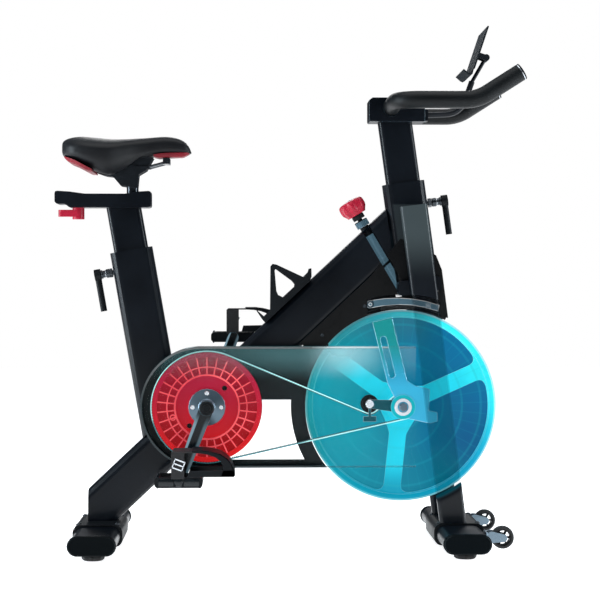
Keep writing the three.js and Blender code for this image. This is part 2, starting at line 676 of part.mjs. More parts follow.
// The belt's inner (offset 0) or outer side: arcs round the wheels, joined by their tangents.
function beltLine(offset) {
  const wheels = [
    { x: CRANK_X, z: CRANK_Z, r: PULLEY_R + BELT_GAP + offset, turn: 1 },
    { x: HUB_X, z: HUB_Z, r: SMALL_R + BELT_GAP + offset, turn: 1 },
    { x: IDLER.x, z: IDLER.z, r: IDLER.r + BELT_GAP + BELT_THICK - offset, turn: -1 },
  ];
  const heading = (from, to) => {
    const distance = Math.hypot(to.x - from.x, to.z - from.z);
    const lean = Math.asin((to.turn * to.r - from.turn * from.r) / distance);
    return Math.atan2(to.z - from.z, to.x - from.x) - lean;
  };
  const points = [];
  wheels.forEach((wheel, index) => {
    const before = wheels[(index + wheels.length - 1) % wheels.length];
    const after = wheels[(index + 1) % wheels.length];
    const side = -wheel.turn * Math.PI / 2;
    const first = heading(before, wheel) + side;
    let sweep = heading(wheel, after) + side - first;
    if (wheel.turn > 0) while (sweep < 0) sweep += 2 * Math.PI;
    else while (sweep > 0) sweep -= 2 * Math.PI;
    const steps = Math.max(3, Math.ceil(Math.abs(sweep) / 0.2));
    for (let step = 0; step <= steps; step++) {
      const angle = first + (sweep * step) / steps;
      points.push([wheel.x + wheel.r * Math.cos(angle), wheel.z + wheel.r * Math.sin(angle)]);
    }
  });
  return outline(points);
}

function makeBelt() {
  const shape = beltLine(BELT_THICK);
  shape.holes.push(beltLine(0));
  return plate(shape, -BELT_OUT + 1, -BELT_IN - 1);
}
part('drive_belt', makeBelt(), looks.rubber());

// ---- Resistance ---------------------------------------------------------------------------------

// A turned piece on the rod's axis. The profile is [radius, distance from the knob].
function onRod(profile, sides = 20) {
  const geometry = turned(profile, sides);
  const down = new THREE.Vector3(ROD_END.x - KNOB.x, 0, ROD_END.z - KNOB.z).normalize();
  const turn = new THREE.Quaternion().setFromUnitVectors(new THREE.Vector3(0, 1, 0), down);
  return geometry.applyQuaternion(turn);
}
const rodLength = Math.hypot(ROD_END.x - KNOB.x, ROD_END.z - KNOB.z);

part('resistance_knob', onRod([
  [0, -17], [20, -17], [26, -14], [28.5, -8], [28.5, 4], [22, 14], [21, 18], [6.3, 18], [6.3, 4], [0, 4],
], 20), looks.red(), KNOB.x, 0, KNOB.z);
part('resistance_rod', onRod([
  [0, 4.3], [6, 4.3], [6, rodLength], [0, rodLength],
], 16), looks.chrome(), KNOB.x, 0, KNOB.z);
part('rod_sleeve', onRod([
  [16, 36], [16, 51], [10.5, 51], [10.5, 222], [6.5, 222], [6.5, 36], [16, 36],
], 24), looks.steel(), KNOB.x, 0, KNOB.z);

function brakeArmShape() {
  const shape = new THREE.Shape();
  shape.moveTo(BRAKE_PIVOT.x, BRAKE_PIVOT.z + 9);
  shape.quadraticCurveTo(285, 594.5, 363, 567);
  shape.lineTo(359, 553);
  shape.quadraticCurveTo(285, 580, BRAKE_PIVOT.x, BRAKE_PIVOT.z - 9);
  shape.absarc(BRAKE_PIVOT.x, BRAKE_PIVOT.z, 9, Math.PI * 1.5, Math.PI / 2, true);
  return shape;
}

const PAD_GAP = 4.5;        // between the felt pad and the flywheel
part('brake_arm', join(
  plate(brakeArmShape(), -12, 12, 5),
  rod(4, [BRAKE_PIVOT.x, -21, BRAKE_PIVOT.z], [BRAKE_PIVOT.x, 21, BRAKE_PIVOT.z], 12),
), looks.steel());
part('brake_pad', cut(
  box(226, 304, -11, 11, 545, 578),
  plate(brakeArmShape(), -20, 20, 5).translate(0, 0, -GAP),
  plate(brakeArmShape(), -20, 20, 5).translate(0, 0, 10),
  holeY(HUB_X, HUB_Z, FLYWHEEL_R + PAD_GAP, 96),
), looks.rubber());

// ---- Saddle -------------------------------------------------------------------------------------

const RAIL_LOW = 796;
const RAIL_TOP = 828;       // top of the rail between its raised ends
const RAIL_END = 834.5;
const RAIL_REAR = -540;
const RAIL_FRONT = -316;
const STUB = { x: -360, r: 14, top: 872.5 };
const TILT_Z = 884;
const LEVER_X = -487;
const SADDLE_LOW = 860;     // block that the saddle is cut from
const SADDLE_TOP = 960;
const MOUNT_TOP = 911.5;    // top of the two blocks that hold the saddle's rails

function makeSeatPost() {
  const foot = reach(SEAT_TOP, SEAT_FOOT, 150);
  const head = between(SEAT_TOP, SEAT_FOOT, -0.3);
  const post = cut(bar(foot, head, { ...innerPost, wall: 3 }), box(-BIG, BIG, -BIG, BIG, RAIL_LOW + 2, BIG));
  const side = new THREE.Shape();
  side.moveTo(RAIL_REAR + 5, RAIL_LOW + 8);
  side.lineTo(RAIL_REAR + 24, RAIL_LOW + 8);
  side.lineTo(RAIL_REAR + 34, RAIL_LOW);
  side.lineTo(RAIL_FRONT - 6, RAIL_LOW);
  side.quadraticCurveTo(RAIL_FRONT, RAIL_LOW, RAIL_FRONT, RAIL_LOW + 6);
  side.lineTo(RAIL_FRONT, RAIL_END - 5);
  side.quadraticCurveTo(RAIL_FRONT, RAIL_END, RAIL_FRONT - 5, RAIL_END);
  side.quadraticCurveTo(RAIL_FRONT - 30, RAIL_END, RAIL_FRONT - 60, RAIL_TOP);
  side.lineTo(RAIL_REAR + 70, RAIL_TOP);
  side.quadraticCurveTo(RAIL_REAR + 30, RAIL_END, RAIL_REAR + 6, RAIL_END);
  side.quadraticCurveTo(RAIL_REAR, RAIL_END, RAIL_REAR, RAIL_END - 5);
  side.lineTo(RAIL_REAR, RAIL_LOW + 13);
  side.closePath();
  const rail = cut(
    plate(side, -30, 30, 2),
    box(RAIL_REAR + 20, RAIL_FRONT - 20, -25, 25, RAIL_LOW + 10, RAIL_TOP - 5),
    box(RAIL_REAR + 20, RAIL_FRONT - 20, -15, 15, RAIL_LOW + 10, BIG),
    rod(5.6, [LEVER_X, 0, RAIL_LOW - 5], [LEVER_X, 0, RAIL_LOW + 15], 12),
  );
  const inside = bar(foot, between(SEAT_TOP, SEAT_FOOT, -0.2), {
    wide: INNER_WIDE - 6, deep: INNER_DEEP - 6, round: INNER_ROUND - 3,
  });
  return cut(join(post, rail), cut(inside, box(-BIG, BIG, -BIG, BIG, RAIL_LOW, BIG)));
}

function makeSaddle() {
  const bevel = 10;
  const rear = new THREE.Vector2(-513, 0);
  const nose = new THREE.Vector2(-232, 0);
  const half = [[-508, 48], [-488, 78], [-455, 84], [-415, 70], [-370, 44], [-310, 24], [-250, 16]];
  const side = (sign) => half.map(([x, y]) => new THREE.Vector2(x, sign * y));
  const plan = new THREE.Shape();
  plan.moveTo(rear.x, rear.y);
  plan.splineThru([...side(1), nose, ...side(-1).reverse(), rear]);
  const block = new THREE.ExtrudeGeometry(plan, {
    depth: SADDLE_TOP - SADDLE_LOW - 2 * bevel, curveSegments: 2,
    bevelThickness: bevel, bevelSize: bevel, bevelSegments: 2,
  }).translate(0, 0, SADDLE_LOW + bevel);
  const underside = outline([
    [-560, SADDLE_LOW - 9], [-200, SADDLE_LOW - 9], [-200, 917], [-300, 914], [-350, 900],
    [-388, 876], [-412, 868], [-440, 872], [-490, 896], [-560, 918],
  ]);
  return cut(
    block, plate(underside, -150, 150),
    box(-482, -240, -31, 31, SADDLE_LOW - 9, MOUNT_TOP + GAP),
  );
}

function makeSaddleClamp() {
  const rail = (y) => join(
    rod(3.5, [-455, y, 902], [-400, y, 891], 6), rod(3.5, [-402, y, 891], [-318, y, 891], 6),
    rod(3.5, [-320, y, 891], [-280, y, 902], 6),
  );
  const mount = (x) => box(x, x + 16, -26, 26, 898, MOUNT_TOP);
  return join(
    rod(11, [STUB.x, -27, TILT_Z], [STUB.x, 27, TILT_Z], 16),
    rail(22), rail(-22), mount(-466), mount(-288),
  );
}

function makeSeatLever() {
  const arm = armShape({ x: 0, z: 0 }, 14, { x: -38, z: 0 }, 9);
  const grip = plate(arm, -8, 8, 5).rotateX(-Math.PI / 2).translate(0, 0, -13);
  return join(grip, rod(14, [0, 0, -27], [0, 0, -GAP], 24), rod(5, [0, 0, -5], [0, 0, 9], 12));
}

part('seat_post', makeSeatPost(), looks.frame());
part('saddle_carriage', join(
  box(-402, -342, -24.5, 24.5, RAIL_LOW + 10.5, RAIL_TOP - 5.5),
  rod(STUB.r, [STUB.x, 0, RAIL_TOP - 10], [STUB.x, 0, STUB.top], 24),
), looks.steel());
part('saddle', makeSaddle(), looks.leather());
part('saddle_clamp', makeSaddleClamp(), looks.steel());
part('seat_lever', makeSeatLever(), looks.red(), LEVER_X, 0, RAIL_LOW);

// ---- Locking pins -------------------------------------------------------------------------------

for (const [name, place] of Object.entries(pin)) {
  part(`${name}_pin`, join(
    rod(6, [place.tip.x, 0, place.tip.z], [place.end.x, 0, place.end.z], 12),
    rod(11, [place.at(52).x, 0, place.at(52).z], [place.at(60).x, 0, place.at(60).z], 6),
  ), looks.chrome());
  const hubStart = { x: place.end.x + place.out.x * GAP, z: place.end.z + place.out.z * GAP };
  const hubMiddle = between(hubStart, place.hub, 0.5);
  const grip = name === 'seat'
    ? { x: hubMiddle.x - place.out.z * 86, z: hubMiddle.z + place.out.x * 86 }
    : { x: hubMiddle.x + place.out.z * 80, z: hubMiddle.z - place.out.x * 80 };
  part(`${name}_pin_lever`, join(
    rod(14, [hubStart.x, 0, hubStart.z], [place.hub.x, 0, place.hub.z], 20),
    rod(7.5, [hubMiddle.x, 0, hubMiddle.z], [grip.x, 0, grip.z], 14),
  ), looks.plastic());
}

// ---- Handlebar ----------------------------------------------------------------------------------

const BASE_LOW = 998;
const BASE_HALF = 36;

part('handlebar_post', cut(
  bar(postAt(760), postAt(BASE_LOW + 30), { ...innerPost, wall: 3 }),
  box(-BIG, BIG, -BIG, BIG, BASE_LOW - GAP, BIG),
), looks.frame());

const baseShape = outline([
  [197, BASE_LOW], [326, BASE_LOW], [326, 1046], [318, 1054], [203, 1054], [195, 1048], [195, 1002],
]);
part('handlebar_base', cut(
  plate(baseShape, -BASE_HALF, BASE_HALF), holeY(BAR_X, BAR_Z, BAR_R + GAP, 28),
), looks.frame());

function makeHandlebar() {
  const corner = 62;
  const rise = (x) => BAR_Z + (x - BAR_BEND) * Math.tan(BAR_RISE);
  const end = BAR_END - BAR_R * Math.sin(BAR_RISE);
  const arm = (side) => [
    [end, side * BAR_HALF, rise(end)], [BAR_BEND + 24, side * BAR_HALF, rise(BAR_BEND + 24)],
    [BAR_BEND - 28, side * BAR_HALF, BAR_Z], [BAR_X + corner, side * BAR_HALF, BAR_Z],
  ].map((p) => new THREE.Vector3(...p));
  const at = (x, y, z) => new THREE.Vector3(x, y, z);
  const path = new THREE.CurvePath();
  const [e1, b1, a1, c1] = arm(-1);
  const [e2, b2, a2, c2] = arm(1);
  path.add(new THREE.LineCurve3(e1, b1));
  path.add(new THREE.QuadraticBezierCurve3(b1, at(BAR_BEND, -BAR_HALF, BAR_Z), a1));
  path.add(new THREE.LineCurve3(a1, c1));
  const cross1 = at(BAR_X, corner - BAR_HALF, BAR_Z);
  const cross2 = at(BAR_X, BAR_HALF - corner, BAR_Z);
  path.add(new THREE.QuadraticBezierCurve3(c1, at(BAR_X, -BAR_HALF, BAR_Z), cross1));
  path.add(new THREE.LineCurve3(cross1, cross2));
  path.add(new THREE.QuadraticBezierCurve3(cross2, at(BAR_X, BAR_HALF, BAR_Z), c2));
  path.add(new THREE.LineCurve3(c2, a2));
  path.add(new THREE.QuadraticBezierCurve3(a2, at(BAR_BEND, BAR_HALF, BAR_Z), b2));
  path.add(new THREE.LineCurve3(b2, e2));
  const section = new THREE.Shape().absarc(0, 0, BAR_R, 0, 2 * Math.PI);
  return new THREE.ExtrudeGeometry(section, {
    steps: 48, curveSegments: 5, extrudePath: path, bevelEnabled: false,
  });
}
part('handlebar', makeHandlebar(), looks.foam());

const TRAY_PIVOT = { x: 473, z: 1151 };
const TRAY_LEAN = THREE.MathUtils.degToRad(18.6);
const TRAY_HALF = 75;
const TRAY_BACK = -22.4;    // back of the board, from the pivot, before it leans
const BOARD_THICK = 4;
const STEM_TOP = { x: 441, z: 1096 };

function makeTabletStem() {
  const path = new THREE.CurvePath();
  const at = (x, z) => new THREE.Vector3(x, 0, z);
  path.add(new THREE.LineCurve3(at(330, 1016), at(380, 1018)));
  path.add(new THREE.QuadraticBezierCurve3(at(380, 1018), at(416, 1020), at(428, 1060)));
  path.add(new THREE.LineCurve3(at(428, 1060), at(STEM_TOP.x, STEM_TOP.z)));
  const tube = new THREE.ExtrudeGeometry(new THREE.Shape().absarc(0, 0, 7, 0, 2 * Math.PI), {
    steps: 14, curveSegments: 4, extrudePath: path, bevelEnabled: false,
  });
  return join(
    tube, box(326 + GAP, 335, -18, 18, 1001, 1028),
    rod(4.5, [STEM_TOP.x - 2, 0, STEM_TOP.z - 4], [TRAY_PIVOT.x, 0, TRAY_PIVOT.z], 12),
    rod(8, [TRAY_PIVOT.x, -8, TRAY_PIVOT.z], [TRAY_PIVOT.x, 8, TRAY_PIVOT.z], 20),
  );
}

// Tray about its pivot: knuckles, the leaning board and at its foot a trough for a tablet's edge.
function makeTabletTray() {
  const board = roundedRect(BOARD_THICK, 105, BOARD_THICK / 2 - 0.1);
  const slanted = plate(board, -TRAY_HALF, TRAY_HALF, 3)
    .translate(TRAY_BACK - BOARD_THICK / 2, 0, 8.5).rotateY(TRAY_LEAN);
  const knuckle = (y0, y1) => join(
    rod(8, [0, y0, 0], [0, y1, 0], 16),
    box(TRAY_BACK - 1, 0, y0, y1, -6, 6).rotateY(TRAY_LEAN),
  );
  const trough = outline([
    [-62.2, -36], [-50, -46.6], [-45, -48.5], [-39.5, -45], [-35.9, -30.1], [-38.4, -30.2],
    [-42, -40.8], [-49.7, -42.9], [-60.2, -33.7],
  ]);
  return join(slanted, plate(trough, 5 - TRAY_HALF, TRAY_HALF - 5), knuckle(-18, -9), knuckle(9, 18));
}
part('tablet_stem', makeTabletStem(), looks.frame());
part('tablet_tray', makeTabletTray(), looks.plastic(), TRAY_PIVOT.x, 0, TRAY_PIVOT.z);

export default bike;
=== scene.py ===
import json
import math

import bmesh
import bpy
from mathutils import Matrix, Vector


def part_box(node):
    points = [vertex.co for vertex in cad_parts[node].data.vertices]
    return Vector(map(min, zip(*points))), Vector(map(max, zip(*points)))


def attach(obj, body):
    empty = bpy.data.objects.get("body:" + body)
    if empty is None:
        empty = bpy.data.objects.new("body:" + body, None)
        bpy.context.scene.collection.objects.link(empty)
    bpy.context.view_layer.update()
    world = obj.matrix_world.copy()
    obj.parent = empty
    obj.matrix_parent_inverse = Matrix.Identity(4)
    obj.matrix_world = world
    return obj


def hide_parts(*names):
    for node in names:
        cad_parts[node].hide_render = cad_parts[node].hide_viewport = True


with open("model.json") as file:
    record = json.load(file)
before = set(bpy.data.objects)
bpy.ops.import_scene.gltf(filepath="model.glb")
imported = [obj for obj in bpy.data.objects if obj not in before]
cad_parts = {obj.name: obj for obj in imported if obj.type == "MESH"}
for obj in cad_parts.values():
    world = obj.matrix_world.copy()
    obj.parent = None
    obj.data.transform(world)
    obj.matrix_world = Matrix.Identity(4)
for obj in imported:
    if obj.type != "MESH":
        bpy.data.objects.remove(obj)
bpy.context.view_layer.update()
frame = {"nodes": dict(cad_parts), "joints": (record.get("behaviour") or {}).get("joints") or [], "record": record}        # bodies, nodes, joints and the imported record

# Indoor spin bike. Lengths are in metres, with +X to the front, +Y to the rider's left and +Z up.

NODES = frame["nodes"]
BODY_OF = {node: body for body, group in frame["record"]["behaviour"]["bodies"].items() for node in group}
SLOT_OF = {row["node"]: row["material_slot"] for row in frame["record"]["subparts"]}
PIVOT = {joint["name"]: Vector(joint["pos_m"]) for joint in frame["joints"] if "pos_m" in joint}
AXIS = {joint["name"]: Vector(joint["axis"]) for joint in frame["joints"]}

CRANK = PIVOT["crank_spin"]
HUB = PIVOT["flywheel_spin"]
IDLER = PIVOT["idler_spin"]
KNOB = PIVOT["resistance_turn"]
ROD = AXIS["brake_push"].normalized()
PIVOT_OF_POST = Vector((0.2776, 0, 0.856))      # a point on the front post's axis
TO_RIGHT = Vector((0, -1, 0))
RADIUS = {node: (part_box(node)[1].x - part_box(node)[0].x) / 2 for node in (
    "flywheel", "drive_pulley", "flywheel_pulley", "idler_wheel", "transport_wheel_right")}
GUARD_RADIUS = (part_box("belt_guard_outer")[1].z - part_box("belt_guard_outer")[0].z) / 2
WHEEL_OPENING = 0.2262      # radius of the round edges that the guard and the shroud keep off the wheel
SMOOTH_BELOW = 34           # degrees; an edge that bends less is shaded smooth
ROD_WINDOW_SIDE = -0.018    # the see-through strip over the rod lies to the right of this Y
ROD_WINDOW_HALF = 0.0106    # half its width
ROD_GHOST = 0.93            # how much of the piece that strip takes away
CAMERA_PLACE = (-0.096, -4.0, 0.603)
CAMERA_LENS_MM = 101.7
CAMERA_TURN = math.radians(1.86)
CAMERA_DROP = math.radians(-0.34)


# ---- Camera, light and stage ----------------------------------------------------------------

def link(thing):
    bpy.context.scene.collection.objects.link(thing)
    return thing


def set_camera():
    camera = link(bpy.data.objects.new("camera", bpy.data.cameras.new("camera")))
    camera.data.lens = CAMERA_LENS_MM
    camera.data.sensor_width = 36
    camera.data.clip_end = 60
    camera.location = CAMERA_PLACE
    ahead = Vector((math.sin(CAMERA_TURN) * math.cos(CAMERA_DROP),
                    math.cos(CAMERA_TURN) * math.cos(CAMERA_DROP),
                    math.sin(CAMERA_DROP)))
    camera.rotation_euler = ahead.to_track_quat("-Z", "Y").to_euler()
    bpy.context.scene.camera = camera


def softbox(name, place, aim, size, watts, colour=(1, 1, 1)):
    light = bpy.data.lights.new(name, "AREA")
    light.shape = "RECTANGLE"
    light.size, light.size_y = size
    light.energy = watts
    light.color = colour
    lamp = link(bpy.data.objects.new(name, light))
    lamp.location = place
    lamp.rotation_euler = (Vector(aim) - Vector(place)).to_track_quat("-Z", "Y").to_euler()


def light_studio():
    middle = (0, 0, 0.6)
    softbox("strip_right", (3.0, -0.5, 0.9), (0, 0, 0.7), (0.4, 2.4), 75, (0.86, 0.94, 1.0))
    softbox("strip_left", (-3.0, -0.6, 0.9), (0, 0, 0.7), (0.4, 2.4), 100, (0.8, 0.92, 1.0))
    softbox("top", (0, -0.4, 3.4), middle, (3.0, 2.4), 42)
    softbox("front", (-1.6, -4.6, 3.0), middle, (1.6, 1.0), 12)
    softbox("back", (0.4, 3.8, 2.6), middle, (2.6, 1.6), 45)
    world = bpy.data.worlds.new("studio")
    world.use_nodes = True
    bpy.context.scene.world = world
    tree = world.node_tree
    backdrop = tree.nodes["Background"]
    backdrop.inputs["Color"].default_value = (1, 1, 1, 1)
    room = tree.nodes.new("ShaderNodeBackground")
    room.inputs["Strength"].default_value = 1.0
    heights = tree.nodes.new("ShaderNodeSeparateXYZ")
    direction = tree.nodes.new("ShaderNodeTexCoord")
    tree.links.new(direction.outputs["Generated"], heights.inputs[0])
    fade = tree.nodes.new("ShaderNodeValToRGB")
    fade.color_ramp.elements[0].position = 0.0
    fade.color_ramp.elements[0].color = (0.018, 0.021, 0.027, 1)
    fade.color_ramp.elements[1].position = 0.9
    fade.color_ramp.elements[1].color = (0.3, 0.33, 0.37, 1)
    tree.links.new(heights.outputs[2], fade.inputs[0])
    tree.links.new(fade.outputs[0], room.inputs["Color"])
    rays = tree.nodes.new("ShaderNodeLightPath")
    choose = tree.nodes.new("ShaderNodeMixShader")
    tree.links.new(rays.outputs["Is Camera Ray"], choose.inputs[0])
    tree.links.new(room.outputs[0], choose.inputs[1])
    tree.links.new(backdrop.outputs[0], choose.inputs[2])
    tree.links.new(choose.outputs[0], tree.nodes["World Output"].inputs["Surface"])
    bpy.context.scene.view_settings.view_transform = "Standard"


# ---- Materials --------------------------------------------------------------------------------

class Look:
    """A procedural material, with short ways to add nodes to it."""

    def __init__(self, name):
        self.material = bpy.data.materials.new(name)
        self.material.use_nodes = True
        self.tree = self.material.node_tree
        self.shader = self.tree.nodes["Principled BSDF"]
        self.place = self.tree.nodes.new("ShaderNodeTexCoord").outputs["Object"]
        self.edge = None

    def feed(self, socket, value):
        if isinstance(value, bpy.types.NodeSocket):
            self.tree.links.new(value, socket)
        elif hasattr(socket.default_value, "__len__") and len(value) == 3 and len(socket.default_value) == 4:
            socket.default_value = (*value, 1)
        else:
            socket.default_value = value

    def set(self, **inputs):
        for name, value in inputs.items():
            self.feed(self.shader.inputs[name.replace("_", " ")], value)

    def calc(self, operation, *values, clamp=False):
        step = self.tree.nodes.new("ShaderNodeMath")
        step.operation = operation
        step.use_clamp = clamp
        for socket, value in zip(step.inputs, values):
            self.feed(socket, value)
        return step.outputs[0]

    def fade(self, value, low, high, to_low=0.0, to_high=1.0):
        step = self.tree.nodes.new("ShaderNodeMapRange")
        step.interpolation_type = "SMOOTHSTEP"
        for socket, number in zip(step.inputs, (value, low, high, to_low, to_high)):
            self.feed(socket, number)
        return step.outputs[0]

    def mix(self, share, first, second):
        step = self.tree.nodes.new("ShaderNodeMix")
        step.data_type = "RGBA"
        step.clamp_factor = True
        self.feed(step.inputs[0], share)
        self.feed(step.inputs[6], first)
        self.feed(step.inputs[7], second)
        return step.outputs[2]

    def noise(self, scale, detail=3.0, where=None):
        step = self.tree.nodes.new("ShaderNodeTexNoise")
        self.feed(step.inputs["Vector"], where or self.place)
        step.inputs["Scale"].default_value = scale
        step.inputs["Detail"].default_value = detail
        return step.outputs[0]

    def cells(self, scale, feature="F1"):
        step = self.tree.nodes.new("ShaderNodeTexVoronoi")
        step.feature = feature
        self.feed(step.inputs["Vector"], self.place)
        step.inputs["Scale"].default_value = scale
        return step.outputs[0]

    def stretch(self, factors):
        step = self.tree.nodes.new("ShaderNodeVectorMath")
        step.operation = "MULTIPLY"
        self.feed(step.inputs[0], self.place)
        step.inputs[1].default_value = factors
        return step.outputs[0]

    def axes(self):
        step = self.tree.nodes.new("ShaderNodeSeparateXYZ")
        self.feed(step.inputs[0], self.place)
        return step.outputs

    def radius(self, centre):
        """Distance from a line along Y through the centre."""
        x, _, z = self.axes()
        dx = self.calc("SUBTRACT", x, centre.x)
        dz = self.calc("SUBTRACT", z, centre.z)
        square = self.calc("ADD", self.calc("MULTIPLY", dx, dx), self.calc("MULTIPLY", dz, dz))
        return self.calc("SQRT", square)

    def off_line(self, start, along):
        """Distance in the side view from a line through start, on the side of its left normal."""
        x, _, z = self.axes()
        across = Vector((-along.z, 0, along.x)).normalized()
        part = self.calc("ADD", self.calc("MULTIPLY", x, across.x), self.calc("MULTIPLY", z, across.z))
        return self.calc("SUBTRACT", part, start.dot(across))

    def bump(self, height, depth):
        step = self.tree.nodes.new("ShaderNodeBump")
        step.inputs["Strength"].default_value = 1.0
        step.inputs["Distance"].default_value = depth
        self.feed(step.inputs["Height"], height)
        self.feed(self.shader.inputs["Normal"], step.outputs[0])


def surface(name, colour, rough, edge_highlight=None, vary=0.2, grain=1400, depth=0.00003, **uniform):
    """Uneven colour, roughness that follows it and fine grain.

    `edge_highlight` is the colour of a painted highlight on the rounded edges.
    """
    look = Look(name)
    slow = look.noise(7, 4)
    fine = look.noise(grain, 2)
    dark = tuple(part * (1 - vary) for part in colour)
    light = tuple(min(1.0, part * (1 + vary)) for part in colour)
    tint = look.mix(look.fade(slow, 0.3, 0.7), dark, light)
    blotch = look.calc("ADD", look.calc("MULTIPLY", slow, 0.7), look.calc("MULTIPLY", fine, 0.3))
    look.set(Base_Color=tint, Roughness=look.fade(blotch, 0.3, 0.7, rough * 0.8, rough * 1.25))
    look.bump(fine, depth)
    look.set(**uniform)
    # Rounded edges get a second, lighter material: a painted highlight.
    if edge_highlight:
        look.edge = surface(name + "_edge", edge_highlight, rough * 0.8, vary=0.45, grain=grain, depth=depth, **uniform)
    return look


def paint(name="gloss_frame_paint"):
    # The rounded edges take a paler blue-grey: a painted highlight.
    return surface(name, (0.0022, 0.004, 0.0068), 0.34, edge_highlight=(0.05, 0.08, 0.1), vary=0.25,
                   grain=900, depth=0.00002, Coat_Weight=0.13, Coat_Roughness=0.12, Specular_IOR_Level=0.14)


def ghosted(look, mask, share):
    """Lets the piece be seen through by this share where the mask is 1."""
    look.set(Alpha=look.calc("SUBTRACT", 1.0, look.calc("MULTIPLY", mask, share)))
    return look


def sleeve_window(look):
    """A mask over the resistance rod and the brake arm, on the right side only."""
    across = look.calc("ABSOLUTE", look.off_line(KNOB, ROD))
    strip = look.fade(across, ROD_WINDOW_HALF + 0.0006, ROD_WINDOW_HALF - 0.0006)
    x, y, z = look.axes()
    side = look.fade(y, ROD_WINDOW_SIDE + 0.004, ROD_WINDOW_SIDE)
    low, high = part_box("rod_sleeve")
    for part in (look.fade(z, low.z - 0.004, low.z + 0.004), look.fade(z, high.z - 0.012, high.z - 0.02)):
        strip = look.calc("MULTIPLY", strip, part)
    arm_low, arm_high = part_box("brake_arm")
    reach = look.radius(HUB)
    arm = look.calc("MULTIPLY", look.fade(reach, 0.2275, 0.2285), look.fade(reach, 0.2625, 0.2615))
    for part in (look.fade(x, arm_low.x, arm_low.x + 0.002), look.fade(x, arm_high.x, arm_high.x - 0.002),
                 look.fade(z, HUB.z, HUB.z + 0.05)):
        arm = look.calc("MULTIPLY", arm, part)
    return look.calc("MULTIPLY", look.calc("MAXIMUM", strip, arm), side)


def tube_paint():
    look = paint("gloss_tube_paint")
    return ghosted(look, sleeve_window(look), ROD_GHOST)


def leg_paint():
    """Frame paint that is see-through and teal in front of the wheel and the brake; the teal is a painted
    glow, and a painted sheen lies on the upper part of the near side.
    """
    look = paint("gloss_leg_paint")
    reach = look.radius(HUB)
    _, y, z = look.axes()
    above = look.fade(z, HUB.z + 0.05, HUB.z + 0.1)
    window = look.calc("MAXIMUM", look.fade(reach, 0.2212, 0.2192),
                       look.calc("MULTIPLY", look.fade(reach, 0.2635, 0.261), above))
    # Painted sheen: a pale glow on the upper part of the near side.
    sheen_span = look.calc("MULTIPLY", look.fade(z, 0.62, 0.74), look.fade(y, -0.05, -0.06))
    ghost = look.fade(reach, 0.23, 0.22)
    # Painted teal glow where the wheel lies behind, and the painted sheen above.
    look.set(Emission_Color=look.mix(ghost, (0.05, 0.068, 0.073), (0.0, 0.07, 0.1)),
             Emission_Strength=look.calc("MAXIMUM", look.calc("MULTIPLY", ghost, 0.7), sheen_span),
             Coat_Weight=look.fade(reach, 0.225, 0.24, 0.0, 0.2),
             Specular_IOR_Level=look.fade(reach, 0.225, 0.24, 0.0, 0.16))
    return ghosted(look, window, 0.88)


def head_paint():
    """Frame paint with a painted sheen, a faint glow, on the flat side of the head."""
    look = paint("gloss_head_paint")
    _, y, z = look.axes()
    across = look.off_line(PIVOT_OF_POST, AXIS["bar_height"])
    band = look.calc("MULTIPLY", look.fade(across, -0.038, -0.034), look.fade(across, 0.036, 0.03))
    sheen_span = look.calc("MULTIPLY", look.fade(z, 0.64, 0.725), look.fade(z, 0.806, 0.802))
    flat = look.calc("MULTIPLY", band, look.calc("MULTIPLY", sheen_span, look.fade(y, -0.02, -0.024)))
    # The emission on that band is the painted sheen.
    look.set(Emission_Color=(0.062, 0.083, 0.088), Emission_Strength=look.calc("MULTIPLY", flat, 0.25))
    return look


def steel(name, colour, rough, **uniform):
    # The rounded edges take a paler colour: a painted highlight.
    return surface(name, colour, rough, edge_highlight=tuple(min(0.9, part * 1.6 + 0.03) for part in colour),
                   vary=0.12, grain=700, depth=0.00002, Metallic=0.85, **uniform)


def glowing_steel(name, colour, rough, glow, strength):
    """Steel with a painted tinted glow, for the metal that shows through other pieces."""
    look = steel(name, colour, rough, Emission_Strength=strength)
    # The emission is a painted glow.
    look.set(Emission_Color=glow)
    return look


def bracket_look():
    """Blue-grey plate with a painted glow in the wheel's cyan, which turns teal where it hangs above the hub.
    """
    look = steel("bracket_plate", (0.2, 0.36, 0.46), 0.32)
    z = look.axes()[2]
    up = look.fade(z, HUB.z + 0.05, HUB.z + 0.16)
    tint = look.mix(up, (0.05, 0.5, 0.78), (0.01, 0.36, 0.34))
    # The emission is a painted glow in the wheel's colours.
    look.set(Base_Color=look.mix(0.5, tint, (0.0, 0.0, 0.0)), Emission_Color=tint, Metallic=0.2,
             Emission_Strength=0.45, Specular_IOR_Level=0.25)
    return ghosted(look, look.fade(z, HUB.z - 0.04, HUB.z + 0.12, 0.35, 1.0), 0.45)


